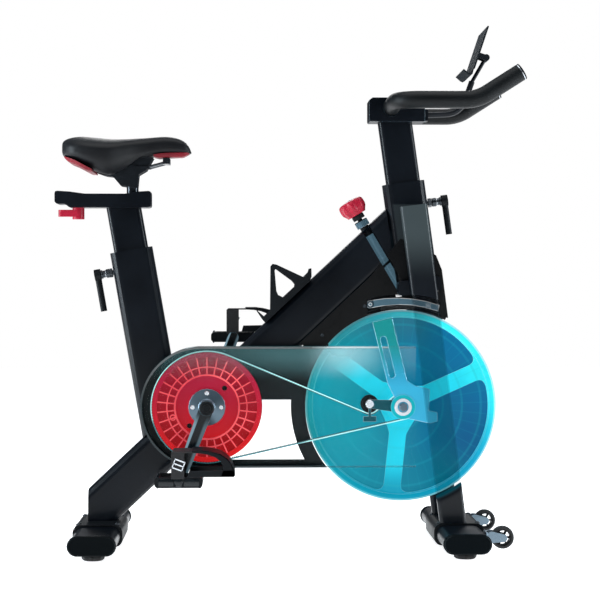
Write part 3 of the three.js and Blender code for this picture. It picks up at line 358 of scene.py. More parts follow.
def clear_cover():
    """Clear sheet with a painted highlight, a pale band with a brighter line in it, under its top edge, and a
    bright rim.
    """
    look = Look("clear_cover")
    x, _, z = look.axes()
    slow = look.noise(9, 4)
    top = look.calc("SUBTRACT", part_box("belt_guard_outer")[1].z, z)
    ahead = look.calc("MULTIPLY", look.fade(x, -0.2, 0.08, 0.3, 0.7), look.fade(x, 0.24, 0.13, 0.2, 1.0))
    # Painted highlight: a pale band under the top edge, and a brighter line within it.
    sheen_band = look.calc("MULTIPLY", look.fade(top, 0.085, 0.006, 0.0, 0.5), ahead)
    line = look.calc("MULTIPLY", look.fade(top, 0.0012, 0.002), look.fade(top, 0.0052, 0.0042, 0.0, 0.6))
    line = look.calc("MULTIPLY", line, look.fade(x, 0.29, 0.2))
    haze = look.fade(slow, 0.2, 0.8, 0.002, 0.008)
    weight = look.tree.nodes.new("ShaderNodeLayerWeight")
    weight.inputs["Blend"].default_value = 0.3
    rim = look.fade(weight.outputs["Facing"], 0.75, 1.0, 0.0, 0.5)
    veil = look.calc("ADD", look.calc("ADD", look.calc("ADD", sheen_band, line), haze), rim, clamp=True)
    pale = look.mix(look.fade(x, 0.03, 0.13), (0.11, 0.26, 0.27), (0.55, 0.85, 0.88))
    pale = look.mix(look.calc("GREATER_THAN", line, 0.05), pale, (0.85, 0.95, 0.95))
    look.set(Base_Color=pale, Roughness=look.fade(slow, 0.3, 0.7, 0.06, 0.14), Alpha=veil,
             Specular_IOR_Level=0.12)
    look.bump(look.noise(30, 3), 0.0003)
    return look


def smoked_cover():
    look = surface("smoked_cover", (0.0035, 0.0038, 0.0042), 0.3, edge_highlight=(0.07, 0.08, 0.09), Coat_Weight=0.12,
                   Coat_Roughness=0.12, Specular_IOR_Level=0.2)
    return ghosted(look, sleeve_window(look), ROD_GHOST)


def plastic():
    return surface("moulded_black_plastic", (0.0045, 0.006, 0.0075), 0.42, edge_highlight=(0.03, 0.034, 0.04),
                   grain=2600, depth=0.00003, Specular_IOR_Level=0.14)


def tray_plastic():
    """Black plastic of the belt guard's tray, a little cooler than the other plastics."""
    return surface("guard_tray_plastic", (0.003, 0.0065, 0.008), 0.42, edge_highlight=(0.05, 0.065, 0.07), grain=2600,
                   depth=0.00002, Coat_Weight=0.08, Coat_Roughness=0.2, Specular_IOR_Level=0.2)


def rim_plastic():
    """Bead of the cover's edge, solid at the back and fading to clear towards the front, paler towards the
    top as a painted highlight.
    """
    look = surface("guard_rim_plastic", (0.1, 0.13, 0.145), 0.3, Coat_Weight=0.3, Coat_Roughness=0.1)
    x, _, z = look.axes()
    # Paler above the crank: a painted highlight.
    tint = look.mix(look.fade(z, CRANK.z, CRANK.z + 0.12), (0.006, 0.02, 0.024), (0.11, 0.115, 0.115))
    look.set(Alpha=look.fade(x, 0.02, 0.12, 1.0, 0.16), Base_Color=tint)
    return look


def rubber():
    return surface("rubber", (0.011, 0.011, 0.012), 0.75, edge_highlight=(0.04, 0.04, 0.04), grain=1800, depth=0.00012)


def red(name="moulded_red_plastic", colour=(0.4, 0.008, 0.03)):
    return surface(name, colour, 0.36, edge_highlight=(0.62, 0.05, 0.08), vary=0.12, grain=1800, depth=0.00002,
                   Coat_Weight=0.1, Coat_Roughness=0.2, Specular_IOR_Level=0.25)


def pulley_red():
    """Red plastic with a painted glow, brighter towards the lower side, as if lit from below, and with
    painted shade on the web between the ribs.
    """
    look = red("pulley_red_plastic")
    z = look.axes()[2]
    low = look.fade(z, CRANK.z + 0.09, CRANK.z - 0.12)
    tint = look.mix(low, (0.33, 0.008, 0.035), (0.62, 0.01, 0.012))
    reach = look.radius(CRANK)
    cells = look.calc("MULTIPLY", look.fade(reach, 0.0768, 0.0776), look.fade(reach, 0.1168, 0.116))
    # Painted shade on the recessed web between the ribs.
    shade = look.calc("MULTIPLY", cells, look.fade(z, CRANK.z + 0.09, CRANK.z - 0.1, 0.45, 0.6))
    tint = look.mix(shade, tint, (0.2, 0.002, 0.006))
    fine = look.noise(1500, 2)
    # The emission is a painted glow.
    look.set(Base_Color=look.mix(look.fade(fine, 0.3, 0.7, 0.0, 0.12), tint, (0.2, 0.002, 0.008)),
             Emission_Color=tint, Emission_Strength=0.3, Coat_Weight=0.0, Specular_IOR_Level=0.12)
    return look


def rib_red():
    """Paler red of the pulley's raised ribs and rings, with a painted glow."""
    look = red("pulley_rib_plastic", (0.62, 0.06, 0.08))
    tint = look.mix(look.fade(look.noise(14, 3), 0.3, 0.7), (0.6, 0.045, 0.06), (0.8, 0.1, 0.11))
    look.set(Base_Color=tint, Emission_Color=tint, Emission_Strength=0.4, Coat_Weight=0.0)
    return look


def wheel_tint(name, left, low, right, top, glow, middle=0.0):
    """Tinted metal that turns from teal at the left to blue at the right and paler at the upper right, with
    fine turned rings, painted shade across the top and a painted glow.
    """
    look = Look(name)
    x, _, z = look.axes()
    dx, dz = look.calc("SUBTRACT", x, HUB.x), look.calc("SUBTRACT", z, HUB.z)
    span = RADIUS["flywheel"]
    tint = look.mix(look.fade(dx, -span * 0.7, span * 0.8), left, right)
    tint = look.mix(look.fade(dz, -span * 0.2, -span, 0.0, 0.8), tint, low)
    corner = look.fade(look.calc("ADD", dx, dz), span * 0.1, span * 1.3)
    tint = look.mix(corner, tint, top)
    slow = look.noise(9, 4)
    reach = look.radius(HUB)
    tint = look.mix(look.fade(reach, 0.205, 0.12, 0.0, middle), tint, (0.012, 0.72, 0.9))
    wave = look.calc("SINE", look.calc("MULTIPLY", reach, 140.0))
    ray = look.calc("SINE", look.calc("MULTIPLY", look.calc("ARCTAN2", dz, dx), 46.0))
    turned = look.calc("ADD", look.noise(260, 3), look.calc("MULTIPLY", wave, 0.3))
    shade = look.calc("ADD", look.fade(wave, 0.86, 1.0, 0.0, 0.2), look.fade(ray, 0.9, 1.0, 0.0, 0.1))
    # Painted shade across the top of the wheel.
    high = look.fade(dz, span * 0.45, span * 0.95)
    top_shade = look.calc("MULTIPLY", high, look.fade(dx, span * 0.5, span * 0.1))
    tint = look.mix(look.calc("MULTIPLY", top_shade, 0.65), tint, (0.03, 0.17, 0.21))
    tint = look.mix(shade, tint, tuple(min(1.0, part * 1.3 + 0.01) for part in left))
    tint = look.mix(look.fade(slow, 0.4, 0.75, 0.0, 0.22), tint, tuple(part * 0.6 for part in left))
    base = look.mix(0.6, tint, (0.0, 0.0, 0.0))
    # The emission is a painted glow.
    look.set(Base_Color=base, Roughness=look.fade(slow, 0.3, 0.7, 0.3, 0.42), Metallic=0.2,
             Emission_Color=tint, Emission_Strength=glow, Specular_IOR_Level=0.2)
    look.bump(turned, 0.00005)
    return look


def leather(name="saddle_leather"):
    """Black cover with a pebbled grain and fine creases."""
    look = surface(name, (0.004, 0.0046, 0.0058), 0.4, vary=0.3, Specular_IOR_Level=0.22)
    pebble = look.cells(520, "DISTANCE_TO_EDGE")
    crease = look.noise(26, 5, look.stretch((1.0, 2.6, 1.0)))
    height = look.calc("ADD", look.calc("MULTIPLY", pebble, 0.4), look.calc("MULTIPLY", crease, 0.35))
    look.bump(height, 0.0006)
    return look


def red_leather():
    look = leather("saddle_red_insert")
    tint = look.mix(look.fade(look.noise(12, 4), 0.3, 0.7), (0.13, 0.003, 0.009), (0.24, 0.006, 0.016))
    look.set(Base_Color=tint)
    return look


def foam():
    look = surface("grip_foam", (0.003, 0.0045, 0.0055), 0.42, edge_highlight=(0.03, 0.03, 0.035), vary=0.3,
                   Specular_IOR_Level=0.2)
    pores = look.cells(900)
    look.bump(look.calc("ADD", pores, look.noise(40, 4)), 0.00022)
    return look


def webbing():
    """Woven strap: ribs across it and a finer yarn."""
    look = surface("strap_webbing", (0.012, 0.012, 0.013), 0.7, vary=0.3)
    _, y, z = look.axes()
    ribs = look.calc("SINE", look.calc("MULTIPLY", z, 2600.0))
    yarn = look.calc("SINE", look.calc("MULTIPLY", y, 3400.0))
    look.bump(look.calc("ADD", ribs, look.calc("MULTIPLY", yarn, 0.6)), 0.0002)
    return look


def belt_look():
    """Pale belt rubber with a painted glow, turning teal, without the glow, where it runs low beside the
    wheel.
    """
    look = surface("belt_rubber", (0.42, 0.72, 0.7), 0.35, vary=0.1, grain=2400, depth=0.0001)
    x, _, z = look.axes()
    lower = look.calc("MULTIPLY", look.fade(z, HUB.z - 0.02, HUB.z - 0.045), look.fade(x, 0.06, 0.02))
    # The emission is a painted glow, switched off where the belt runs low.
    look.set(Emission_Color=(0.5, 0.95, 0.92), Emission_Strength=look.fade(lower, 0.0, 1.0, 0.4, 0.0),
             Base_Color=look.mix(lower, (0.42, 0.74, 0.72), (0.08, 0.4, 0.44)))
    return look


def gloss_black(name, **uniform):
    # The rounded edges take a bluish colour: a painted highlight.
    return surface(name, (0.003, 0.006, 0.008), 0.24, edge_highlight=(0.1, 0.19, 0.24), grain=900, depth=0.00001,
                   Coat_Roughness=0.1, **uniform)


def crank_arm():
    """Black arm with painted cool highlights, glowing strips, along both long edges."""
    look = gloss_black("crank_arm_black", Coat_Weight=0.2, Specular_IOR_Level=0.2)
    across = look.off_line(CRANK, (PIVOT["pedal_right_spin"] - CRANK).normalized())
    edge = look.calc("ADD", look.fade(across, 0.005, 0.0105, 0.0, 1.0),
                     look.fade(across, -0.0085, -0.0095, 0.0, 2.6))
    away = look.fade(look.radius(CRANK), 0.016, 0.05)
    # Painted highlight: an emission along both long edges.
    look.set(Emission_Color=(0.07, 0.115, 0.14), Emission_Strength=look.calc("MULTIPLY", edge, away))
    return look


LOOKS = {
    "frame_paint": paint(),
    "bracket_steel": steel("blue_grey_steel", (0.17, 0.23, 0.28), 0.3),
    "dark_steel": steel("dark_steel", (0.035, 0.042, 0.05), 0.26, Coat_Weight=0.3, Coat_Roughness=0.12),
    "chrome": steel("chrome", (0.62, 0.66, 0.7), 0.09),
    "black_plastic": plastic(),
    "rubber": rubber(),
    "clear_cover": clear_cover(),
    "smoked_cover": smoked_cover(),
    "red_plastic": red(),
    "flywheel_tint": wheel_tint("wheel_rim_tint", (0.006, 0.3, 0.35), (0.0, 0.3, 0.45), (0.01, 0.42, 0.72),
                                (0.03, 0.86, 0.95), 0.72, 0.75),
    "saddle_cover": leather(),
    "grip_foam": foam(),
}
TUBE_PAINT = tube_paint()
LEG_PAINT = leg_paint()
BRACKET = bracket_look()
TRAY = tray_plastic()
PULLEY_RED = pulley_red()
RIB_RED = rib_red()
HEAD_PAINT = head_paint()
WEB_TINT = wheel_tint("wheel_web_tint", (0.0, 0.29, 0.37), (0.0, 0.2, 0.29), (0.0, 0.075, 0.22),
                      (0.0, 0.15, 0.32), 0.75)
EDGE_TINT = wheel_tint("wheel_edge_tint", (0.1, 0.5, 0.55), (0.2, 0.6, 0.7), (0.25, 0.65, 0.8),
                       (0.4, 0.85, 0.95), 0.6)
FLANGE = steel("flange_steel", (0.12, 0.17, 0.21), 0.34)
HUB_TEAL = glowing_steel("hub_teal", (0.01, 0.35, 0.4), 0.34, (0.0, 0.4, 0.46), 0.3)
IDLER_TEAL = glowing_steel("idler_teal", (0.01, 0.05, 0.065), 0.34, (0.0, 0.09, 0.12), 0.4)
SLEEVE = glowing_steel("sleeve_steel", (0.05, 0.09, 0.12), 0.3, (0.075, 0.15, 0.2), 0.8)
CAP = surface("end_cap_plastic", (0.0012, 0.003, 0.0042), 0.5, edge_highlight=(0.06, 0.075, 0.08), grain=2600,
              depth=0.00002, Specular_IOR_Level=0.05)
RIM_PLASTIC = rim_plastic()
RED_LEATHER = red_leather()
WEBBING = webbing()
BELT = belt_look()
CRANK_BLACK = gloss_black("crank_black", Coat_Weight=0.3, Specular_IOR_Level=0.25)
CRANK_ARM = crank_arm()
TEETH = surface("belt_teeth_rubber", (0.002, 0.03, 0.036), 0.5, grain=2400)
BOARD = surface("matt_board_plastic", (0.012, 0.016, 0.02), 0.8, edge_highlight=(0.04, 0.05, 0.06), grain=2600,
                depth=0.00002, Specular_IOR_Level=0.1)


# ---- Mesh helpers -----------------------------------------------------------------------------

def turn(bm, profile, centre, axis=(0, 1, 0), steps=64, lobes=0):
    """Adds the surface swept by (radius, distance along the axis, lobe depth) points."""
    axis = Vector(axis).normalized()
    side = axis.orthogonal().normalized()
    other = axis.cross(side)
    rings = []
    for radius, along, *lobe in profile:
        base = Vector(centre) + axis * along
        if radius == 0:
            rings.append([bm.verts.new(base)])
            continue
        ring = []
        for step in range(steps):
            angle = step * 2 * math.pi / steps
            wave = 1 + (lobe[0] * math.cos(lobes * angle) if lobe else 0)
            out = side * math.cos(angle) + other * math.sin(angle)
            ring.append(bm.verts.new(base + out * radius * wave))
        rings.append(ring)
    pairs = list(zip(rings, rings[1:]))
    if profile[0][0] > 0:
        pairs.append((rings[-1], rings[0]))
    for first, second in pairs:
        for step in range(steps):
            after = (step + 1) % steps
            corners = [first[step % len(first)], second[step % len(second)],
                       second[after % len(second)], first[after % len(first)]]
            corners = list(dict.fromkeys(corners))
            if len(corners) > 2:
                bm.faces.new(corners)


def tube(bm, centre, inner, outer, start, end, axis=(0, 1, 0), steps=64):
    """Adds a straight ring about an axis, or a solid round where the inner radius is 0."""
    turn(bm, [(inner, start), (outer, start), (outer, end), (inner, end)], centre, axis, steps)


def prism(bm, points, y0, y1):
    """Adds a side-view outline, drawn as (x, z), made solid between two values of y."""
    near = [bm.verts.new((x, y0, z)) for x, z in points]
    far = [bm.verts.new((x, y1, z)) for x, z in points]
    bm.faces.new(near)
    bm.faces.new(far[::-1])
    for index in range(len(points)):
        after = (index + 1) % len(points)
        bm.faces.new((near[after], near[index], far[index], far[after]))


def side_view(angle):
    """Unit vector in the side view, turned from +X towards +Z."""
    return Vector((math.cos(angle), 0, math.sin(angle)))


def spoke(bm, centre, angle, near, far, half, y0, y1):
    """Adds a straight rib that points away from a centre."""
    out = side_view(angle)
    side = Vector((-out.z, 0, out.x)) * half
    start, end = centre + out * near, centre + out * far
    prism(bm, [(p.x, p.z) for p in (start + side, start - side, end - side, end + side)], y0, y1)


def sweep(bm, path, section, closed=False, up=None):
    """Adds a section of (across, up) points carried along a path. `up` keeps it from rolling."""
    path = [Vector(point) for point in path]
    count = len(path)
    rings = []
    side = None
    for index, point in enumerate(path):
        before = path[index - 1] if index or closed else point
        after = path[(index + 1) % count] if index < count - 1 or closed else point
        along = (after - before).normalized()
        if up:
            side = Vector(up).cross(along).normalized()
        elif side is None:
            side = along.orthogonal().normalized()
        else:
            side = (side - along * side.dot(along)).normalized()
        top = along.cross(side)
        rings.append([bm.verts.new(point + side * a + top * b) for a, b in section])
    pairs = list(zip(rings, rings[1:])) + ([(rings[-1], rings[0])] if closed else [])
    size = len(section)
    for first, second in pairs:
        for step in range(size):
            after = (step + 1) % size
            bm.faces.new((first[step], first[after], second[after], second[step]))
    if not closed:
        bm.faces.new(rings[0][::-1])
        bm.faces.new(rings[-1])


def circle(radius, steps):
    angles = [k * 2 * math.pi / steps for k in range(steps)]
    return [(radius * math.cos(angle), radius * math.sin(angle)) for angle in angles]


def arc(x, z, radius, start, end, steps=16):
    """Points on an arc, with its angles in degrees."""
    angles = [math.radians(start + (end - start) * k / steps) for k in range(steps + 1)]
    return [(x + radius * math.cos(angle), z + radius * math.sin(angle)) for angle in angles]


def rounded_box(bm, low, high, radius, segments=2):
    """Adds a box between two opposite corners, with bevelled edges."""
    made = bmesh.ops.create_cube(bm, size=1)["verts"]
    low, high = Vector(map(min, low, high)), Vector(map(max, low, high))
    for vert in made:
        vert.co = Vector(a + (b - a) * (part + 0.5) for a, b, part in zip(low, high, vert.co))
    edges = {edge for vert in made for edge in vert.link_edges}
    bmesh.ops.bevel(bm, geom=list(edges), offset=radius, segments=segments, profile=0.5, affect="EDGES")


def bezier(start, bend, end, steps):
    start, bend, end = Vector(start), Vector(bend), Vector(end)
    shares = [k / steps for k in range(steps + 1)]
    return [start * (1 - t) ** 2 + bend * 2 * t * (1 - t) + end * t ** 2 for t in shares]


def bolt(bm, place, axis, radius=0.006, height=0.004):
    """A button-head screw with a round socket and a washer."""
    axis = Vector(axis).normalized()
    place = Vector(place)
    turn(bm, [(0, 0.0001), (radius * 1.45, 0.0001), (radius * 1.5, 0.0006), (radius * 1.4, 0.0011),
              (0, 0.0011)], place, axis, 20)
    turn(bm, [(0, 0.0008), (radius, 0.0008), (radius, height * 0.55), (radius * 0.75, height * 0.9),
              (radius * 0.52, height), (radius * 0.48, height), (radius * 0.44, height * 0.5),
              (0, height * 0.5)], place, axis, 24)


def dress(obj, look, smooth=SMOOTH_BELOW):
    """Gives an object its look, the look's painted edge highlight as a second material, and its sharp edges.
    """
    obj.data.materials.clear()
    obj.data.materials.append(look.material)
    if look.edge:
        obj.data.materials.append(look.edge.material)
    obj.data.shade_smooth()
    obj.data.set_sharp_from_angle(angle=math.radians(smooth))


def soften_edges(obj, width, smooth=SMOOTH_BELOW):
    """Rounds the sharp edges and puts the last material, a painted edge highlight where there is one, on
    them.
    """
    bevel = obj.modifiers.new("round_edges", "BEVEL")
    bevel.width = width
    bevel.segments = 2
    bevel.limit_method = "ANGLE"
    bevel.angle_limit = math.radians(smooth)
    bevel.harden_normals = True
    if len(obj.data.materials) > 1:
        bevel.material = len(obj.data.materials) - 1


def piece(name, bm, body, slot, look=None, stands_for=(), bevel=0.0, smooth=SMOOTH_BELOW):
    """Makes a mesh into a visible piece that rides a body and may stand for CAD nodes."""
    bmesh.ops.recalc_face_normals(bm, faces=bm.faces)
    mesh = bpy.data.meshes.new(name)
    bm.to_mesh(mesh)
    bm.free()
    obj = link(bpy.data.objects.new(name, mesh))
    dress(obj, look or LOOKS[slot], smooth)
    if bevel:
        soften_edges(obj, bevel, smooth)
    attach(obj, body)
    if stands_for:
        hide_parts(*stands_for)
    return obj


def carve(obj, cutter):
    """Cuts a closed mesh out of an object's mesh."""
    mesh = bpy.data.meshes.new("cutter")
    bmesh.ops.recalc_face_normals(cutter, faces=cutter.faces)
    cutter.to_mesh(mesh)
    cutter.free()
    tool = link(bpy.data.objects.new("cutter", mesh))
    cut = obj.modifiers.new("cut", "BOOLEAN")
    cut.operation = "DIFFERENCE"
    cut.solver = "EXACT"
    cut.object = tool
    bpy.context.view_layer.update()
    result = bpy.data.meshes.new_from_object(obj.evaluated_get(bpy.context.evaluated_depsgraph_get()))
    obj.modifiers.remove(cut)
    old = obj.data
    obj.data = result
    bpy.data.objects.remove(tool)
    bpy.data.meshes.remove(mesh)
    bpy.data.meshes.remove(old)


def cut(obj, add, *values, **options):
    """Cuts one shape out of an object, added by prism or tube."""
    cutter = bmesh.new()
    add(cutter, *values, **options)
    carve(obj, cutter)


def refine(node, look=None, bevel=0.0012, arcs=0.0):
    """A CAD node with merged faces and softened edges. `arcs` rounds a tube's coarse corners."""
    bm = bmesh.new()
    bm.from_mesh(NODES[node].data)
    bmesh.ops.remove_doubles(bm, verts=bm.verts, dist=0.000004)
    bmesh.ops.dissolve_limit(bm, angle_limit=math.radians(1.5), verts=bm.verts, edges=bm.edges)
    if arcs:
        coarse = [edge for edge in bm.edges if len(edge.link_faces) == 2 and edge.calc_length() > 0.02
                  and math.radians(12) < edge.calc_face_angle(0) < math.radians(52)]
        bmesh.ops.bevel(bm, geom=coarse, offset=arcs, segments=3, profile=0.5, affect="EDGES",
                        clamp_overlap=True)
    mesh = bpy.data.meshes.new(node + "_finished")
    bm.to_mesh(mesh)
    bm.free()
    obj = link(bpy.data.objects.new(node + "_finished", mesh))
    slot = SLOT_OF[node]
    dress(obj, look or LOOKS[slot])
    if bevel:
        soften_edges(obj, bevel)
    flat = obj.modifiers.new("flat_faces", "WEIGHTED_NORMAL")
    flat.keep_sharp = True
    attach(obj, BODY_OF[node])
    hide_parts(node)


# ---- Frame ------------------------------------------------------------------------------------

def build_frame():
    arcs = 0.0068
    refine("main_tube", TUBE_PAINT, arcs=arcs)
    refine("front_post", HEAD_PAINT, arcs=arcs)
    for node in ("seat_tube", "seat_post", "handlebar_post"):
        refine(node, arcs=arcs)
    refine("fork_leg_right", LEG_PAINT, arcs=0.003)
    refine("fork_leg_left", arcs=0.003)
    for node in ("dropout_right", "dropout_left"):
        refine(node, BRACKET, bevel=0.0008)
    for end in ("rear", "front"):
        refine(f"{end}_stabilizer", arcs=0.002)
        refine(f"{end}_foot_sleeve", arcs=0.002, bevel=0.0016)
        for hand in ("right", "left"):
            refine(f"{end}_cap_{hand}", CAP, arcs=0.002)
            build_leveller(f"{end}_leveller_{hand}")
    for hand in ("right", "left"):
        refine(f"wheel_bracket_{hand}")
        build_transport_wheel(f"transport_wheel_{hand}")
    build_frame_bolts()


def build_leveller(node):
    low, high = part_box(node)
    centre = Vector(((low.x + high.x) / 2, (low.y + high.y) / 2, 0))
    bm = bmesh.new()
    turn(bm, [(0, 0.0), (0.0215, 0.0), (0.023, 0.0015, 0.03), (0.0245, 0.004, 0.05), (0.0245, 0.008, 0.05),
              (0.0225, 0.0105, 0.04), (0.012, 0.0115), (0, 0.0115)], centre, (0, 0, 1), 96, 8)
    thread = [(0.0048 + 0.0004 * (step % 2), 0.011 + 0.0008 * step) for step in range(29)]
    turn(bm, [(0, 0.011), *thread, (0, high.z)], centre, (0, 0, 1), 24)
    piece(node + "_foot", bm, BODY_OF[node], SLOT_OF[node], stands_for=(node,), smooth=40)


def build_transport_wheel(node):
    low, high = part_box(node)
    centre = (low + high) / 2
    radius = RADIUS["transport_wheel_right"]
    half = (high.y - low.y) / 2
    bm = bmesh.new()
    turn(bm, [(radius - 0.007, -half), (radius - 0.003, -half), (radius - 0.0006, -half * 0.72),
              (radius, -half * 0.3), (radius, half * 0.3), (radius - 0.0006, half * 0.72),
              (radius - 0.003, half), (radius - 0.007, half)], centre, steps=72)
    piece(node + "_tyre", bm, BODY_OF[node], "rubber", stands_for=(node,))
    bm = bmesh.new()
    tube(bm, centre, radius - 0.0098, radius - 0.0072, -half * 0.85, half * 0.85, steps=72)
    tube(bm, centre, 0.0046, 0.0085, -half, half, steps=32)
    spokes = 6
    for step in range(spokes):
        spoke(bm, centre, step * 2 * math.pi / spokes, 0.008, radius - 0.0094, 0.0014,
              centre.y - half * 0.7, centre.y + half * 0.7)
    piece(node + "_spokes", bm, BODY_OF[node], "black_plastic", bevel=0.0004)


def build_frame_bolts():
    bm = bmesh.new()
    for end in ("rear", "front"):
        low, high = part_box(f"{end}_foot_sleeve")
        for x in (low.x + 0.014, high.x - 0.014):
            for y in (low.y + 0.016, high.y - 0.016):
                bolt(bm, (x, y, high.z - 0.0012), (0, 0, 1), 0.0055)
    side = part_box("brake_shroud")[0].y
    for x, z in ((0.085, 0.497), (0.185, 0.565)):
        bolt(bm, (x, side, z), TO_RIGHT, 0.003, 0.0025)
        bolt(bm, (x, -side, z), -TO_RIGHT, 0.003, 0.0025)
    piece("frame_screws", bm, "frame", "dark_steel")


# ---- Belt drive -------------------------------------------------------------------------------

def build_flywheel():
    radius = RADIUS["flywheel"]
    rim, web, face, half = 0.209, 0.003, 0.009, 0.014
    profile = [(0.0086, 0.020), (0.029, 0.020), (0.0305, 0.0185), (0.036, face), (rim - 0.0025, face),
               (rim, face + 0.0015), (rim + 0.0008, half - 0.0008), (rim + 0.0022, half),
               (radius - 0.0052, half), (radius - 0.0042, half - 0.0006), (radius - 0.0008, half - 0.0022),
               (radius, half - 0.0038)]
    bm = bmesh.new()
    turn(bm, profile + [(r, -y) for r, y in reversed(profile)], HUB, steps=216)
    wheel = piece("flywheel_disc", bm, "flywheel", "flywheel_tint", stands_for=("flywheel",))
    cutter = bmesh.new()
    for step in range(3):
        turned = math.radians(24 + 120 * step)
        shape = [(HUB.x + x, HUB.z + z) for x, z in pocket_outline(turned)]
        prism(cutter, shape, web, 0.03)
        prism(cutter, shape, -0.03, -web)
        for reach, angle, size in ((0.184, turned + math.radians(89.6), 0.0042),
                                   (0.075, turned + math.radians(27.7), 0.0035)):
            tube(cutter, HUB + side_view(angle) * reach, 0, size, -0.02, 0.02, steps=24)
    carve(wheel, cutter)
    dress(wheel, LOOKS["flywheel_tint"], 30)
    wheel.data.materials.append(WEB_TINT.material)
    wheel.data.materials.append(EDGE_TINT.material)
    for face in wheel.data.polygons:
        reach = math.hypot(face.center.x - HUB.x, face.center.z - HUB.z)
        if abs(face.center.y) < web * 1.2 and abs(face.normal.y) > 0.9:
            face.material_index = 1
        elif reach > radius - 0.0046:
            face.material_index = 2
    soften_edges(wheel, 0.0008, smooth=40)


def pocket_outline(start):
    """One pocket between two spokes, about the hub: round outer corners and a hollow inner end."""
    inner, outer, half, corner = 0.048, 0.207, 0.020, 0.022
    end = start + 2 * math.pi / 3

    def on(radius, angle):
        return Vector((radius * math.cos(angle), radius * math.sin(angle)))

    def edge(radius):
        return math.asin(half / radius)

    first = start + edge(outer) + corner / outer
    last = end - edge(outer) - corner / outer
    points = [on(inner + corner, start + edge(inner + corner))]
    points += bezier(on(outer - corner, start + edge(outer - corner)), on(outer, start + edge(outer)),
                     on(outer, first), 6)
    points += [on(outer, first + (last - first) * k / 48) for k in range(1, 48)]
    points += bezier(on(outer, last), on(outer, end - edge(outer)),
                     on(outer - corner, end - edge(outer - corner)), 6)
    middle = (start + end) / 2
    points += bezier(on(inner + corner, end - edge(inner + corner)), on(inner, middle + 0.3),
                     on(inner, middle), 6)
    points += bezier(on(inner, middle), on(inner, middle - 0.3),
                     on(inner + corner, start + edge(inner + corner)), 6)[1:-1]
    return [(point.x, point.y) for point in points]


def build_hub():
    bm = bmesh.new()
    radius = RADIUS["flywheel_pulley"]
    ribs = [(radius - 0.0012 * (step % 2), -0.039 - 0.001 * step) for step in range(11)]
    turn(bm, [(0.0086, -0.0203), (0.018, -0.0203), (0.018, -0.038), (radius, -0.038), *ribs, (radius, -0.05),
              (0.0225, -0.0508), (0.0215, -0.0516), (0.0165, -0.0516), (0.0160, -0.0506), (0.0086, -0.0506)],
         HUB, steps=96)
    piece("flywheel_small_pulley", bm, "flywheel", "bracket_steel", BRACKET, ("flywheel_pulley",))
    bm = bmesh.new()
    tube(bm, HUB, 0.0105, 0.0158, -0.0514, -0.0522)
    piece("flywheel_bearing_ring", bm, "flywheel", "chrome")
    refine("flywheel_axle", FLANGE, bevel=0.0006)
    bm = bmesh.new()
    radius = RADIUS["idler_wheel"]
    turn(bm, [(0.0064, -0.038), (radius - 0.002, -0.038), (radius, -0.0392), (radius, -0.0488),
              (radius - 0.002, -0.05), (0.016, -0.05), (0.015, -0.0492), (0.011, -0.0492), (0.010, -0.05),
              (0.0064, -0.05)], IDLER, steps=64)
    piece("idler_roller", bm, "idler", "black_plastic", stands_for=("idler_wheel",))
    refine("idler_bracket", IDLER_TEAL, bevel=0.0008)
    bm = bmesh.new()
    turn(bm, [(0, -0.0562), (0.0098, -0.0562), (0.0098, -0.0572), (0.0086, -0.0582), (0, -0.0582)], IDLER,
         steps=40)
    piece("idler_bolt_cap", bm, "frame", "chrome")
    flange = [(0.0125, 0.0), (0.0285, 0.0), (0.0285, 0.0022), (0.0125, 0.0022)]
    ring = [(0.0118, 0.002), (0.0205, 0.002), (0.0200, 0.0036), (0.0125, 0.0036)]
    for name, slot, look, rings in (("hub_flange", "bracket_steel", HUB_TEAL, flange),
                                    ("hub_ring", "chrome", LOOKS["chrome"], ring)):
        for hand, side in (("right", -1), ("left", 1)):
            bm = bmesh.new()
            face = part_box(f"dropout_{hand}")[0 if side < 0 else 1]
            turn(bm, rings, Vector((HUB.x, face.y, HUB.z)), (0, side, 0), 56)
            piece(f"{name}_{hand}", bm, "frame", slot, look, bevel=0.0003)


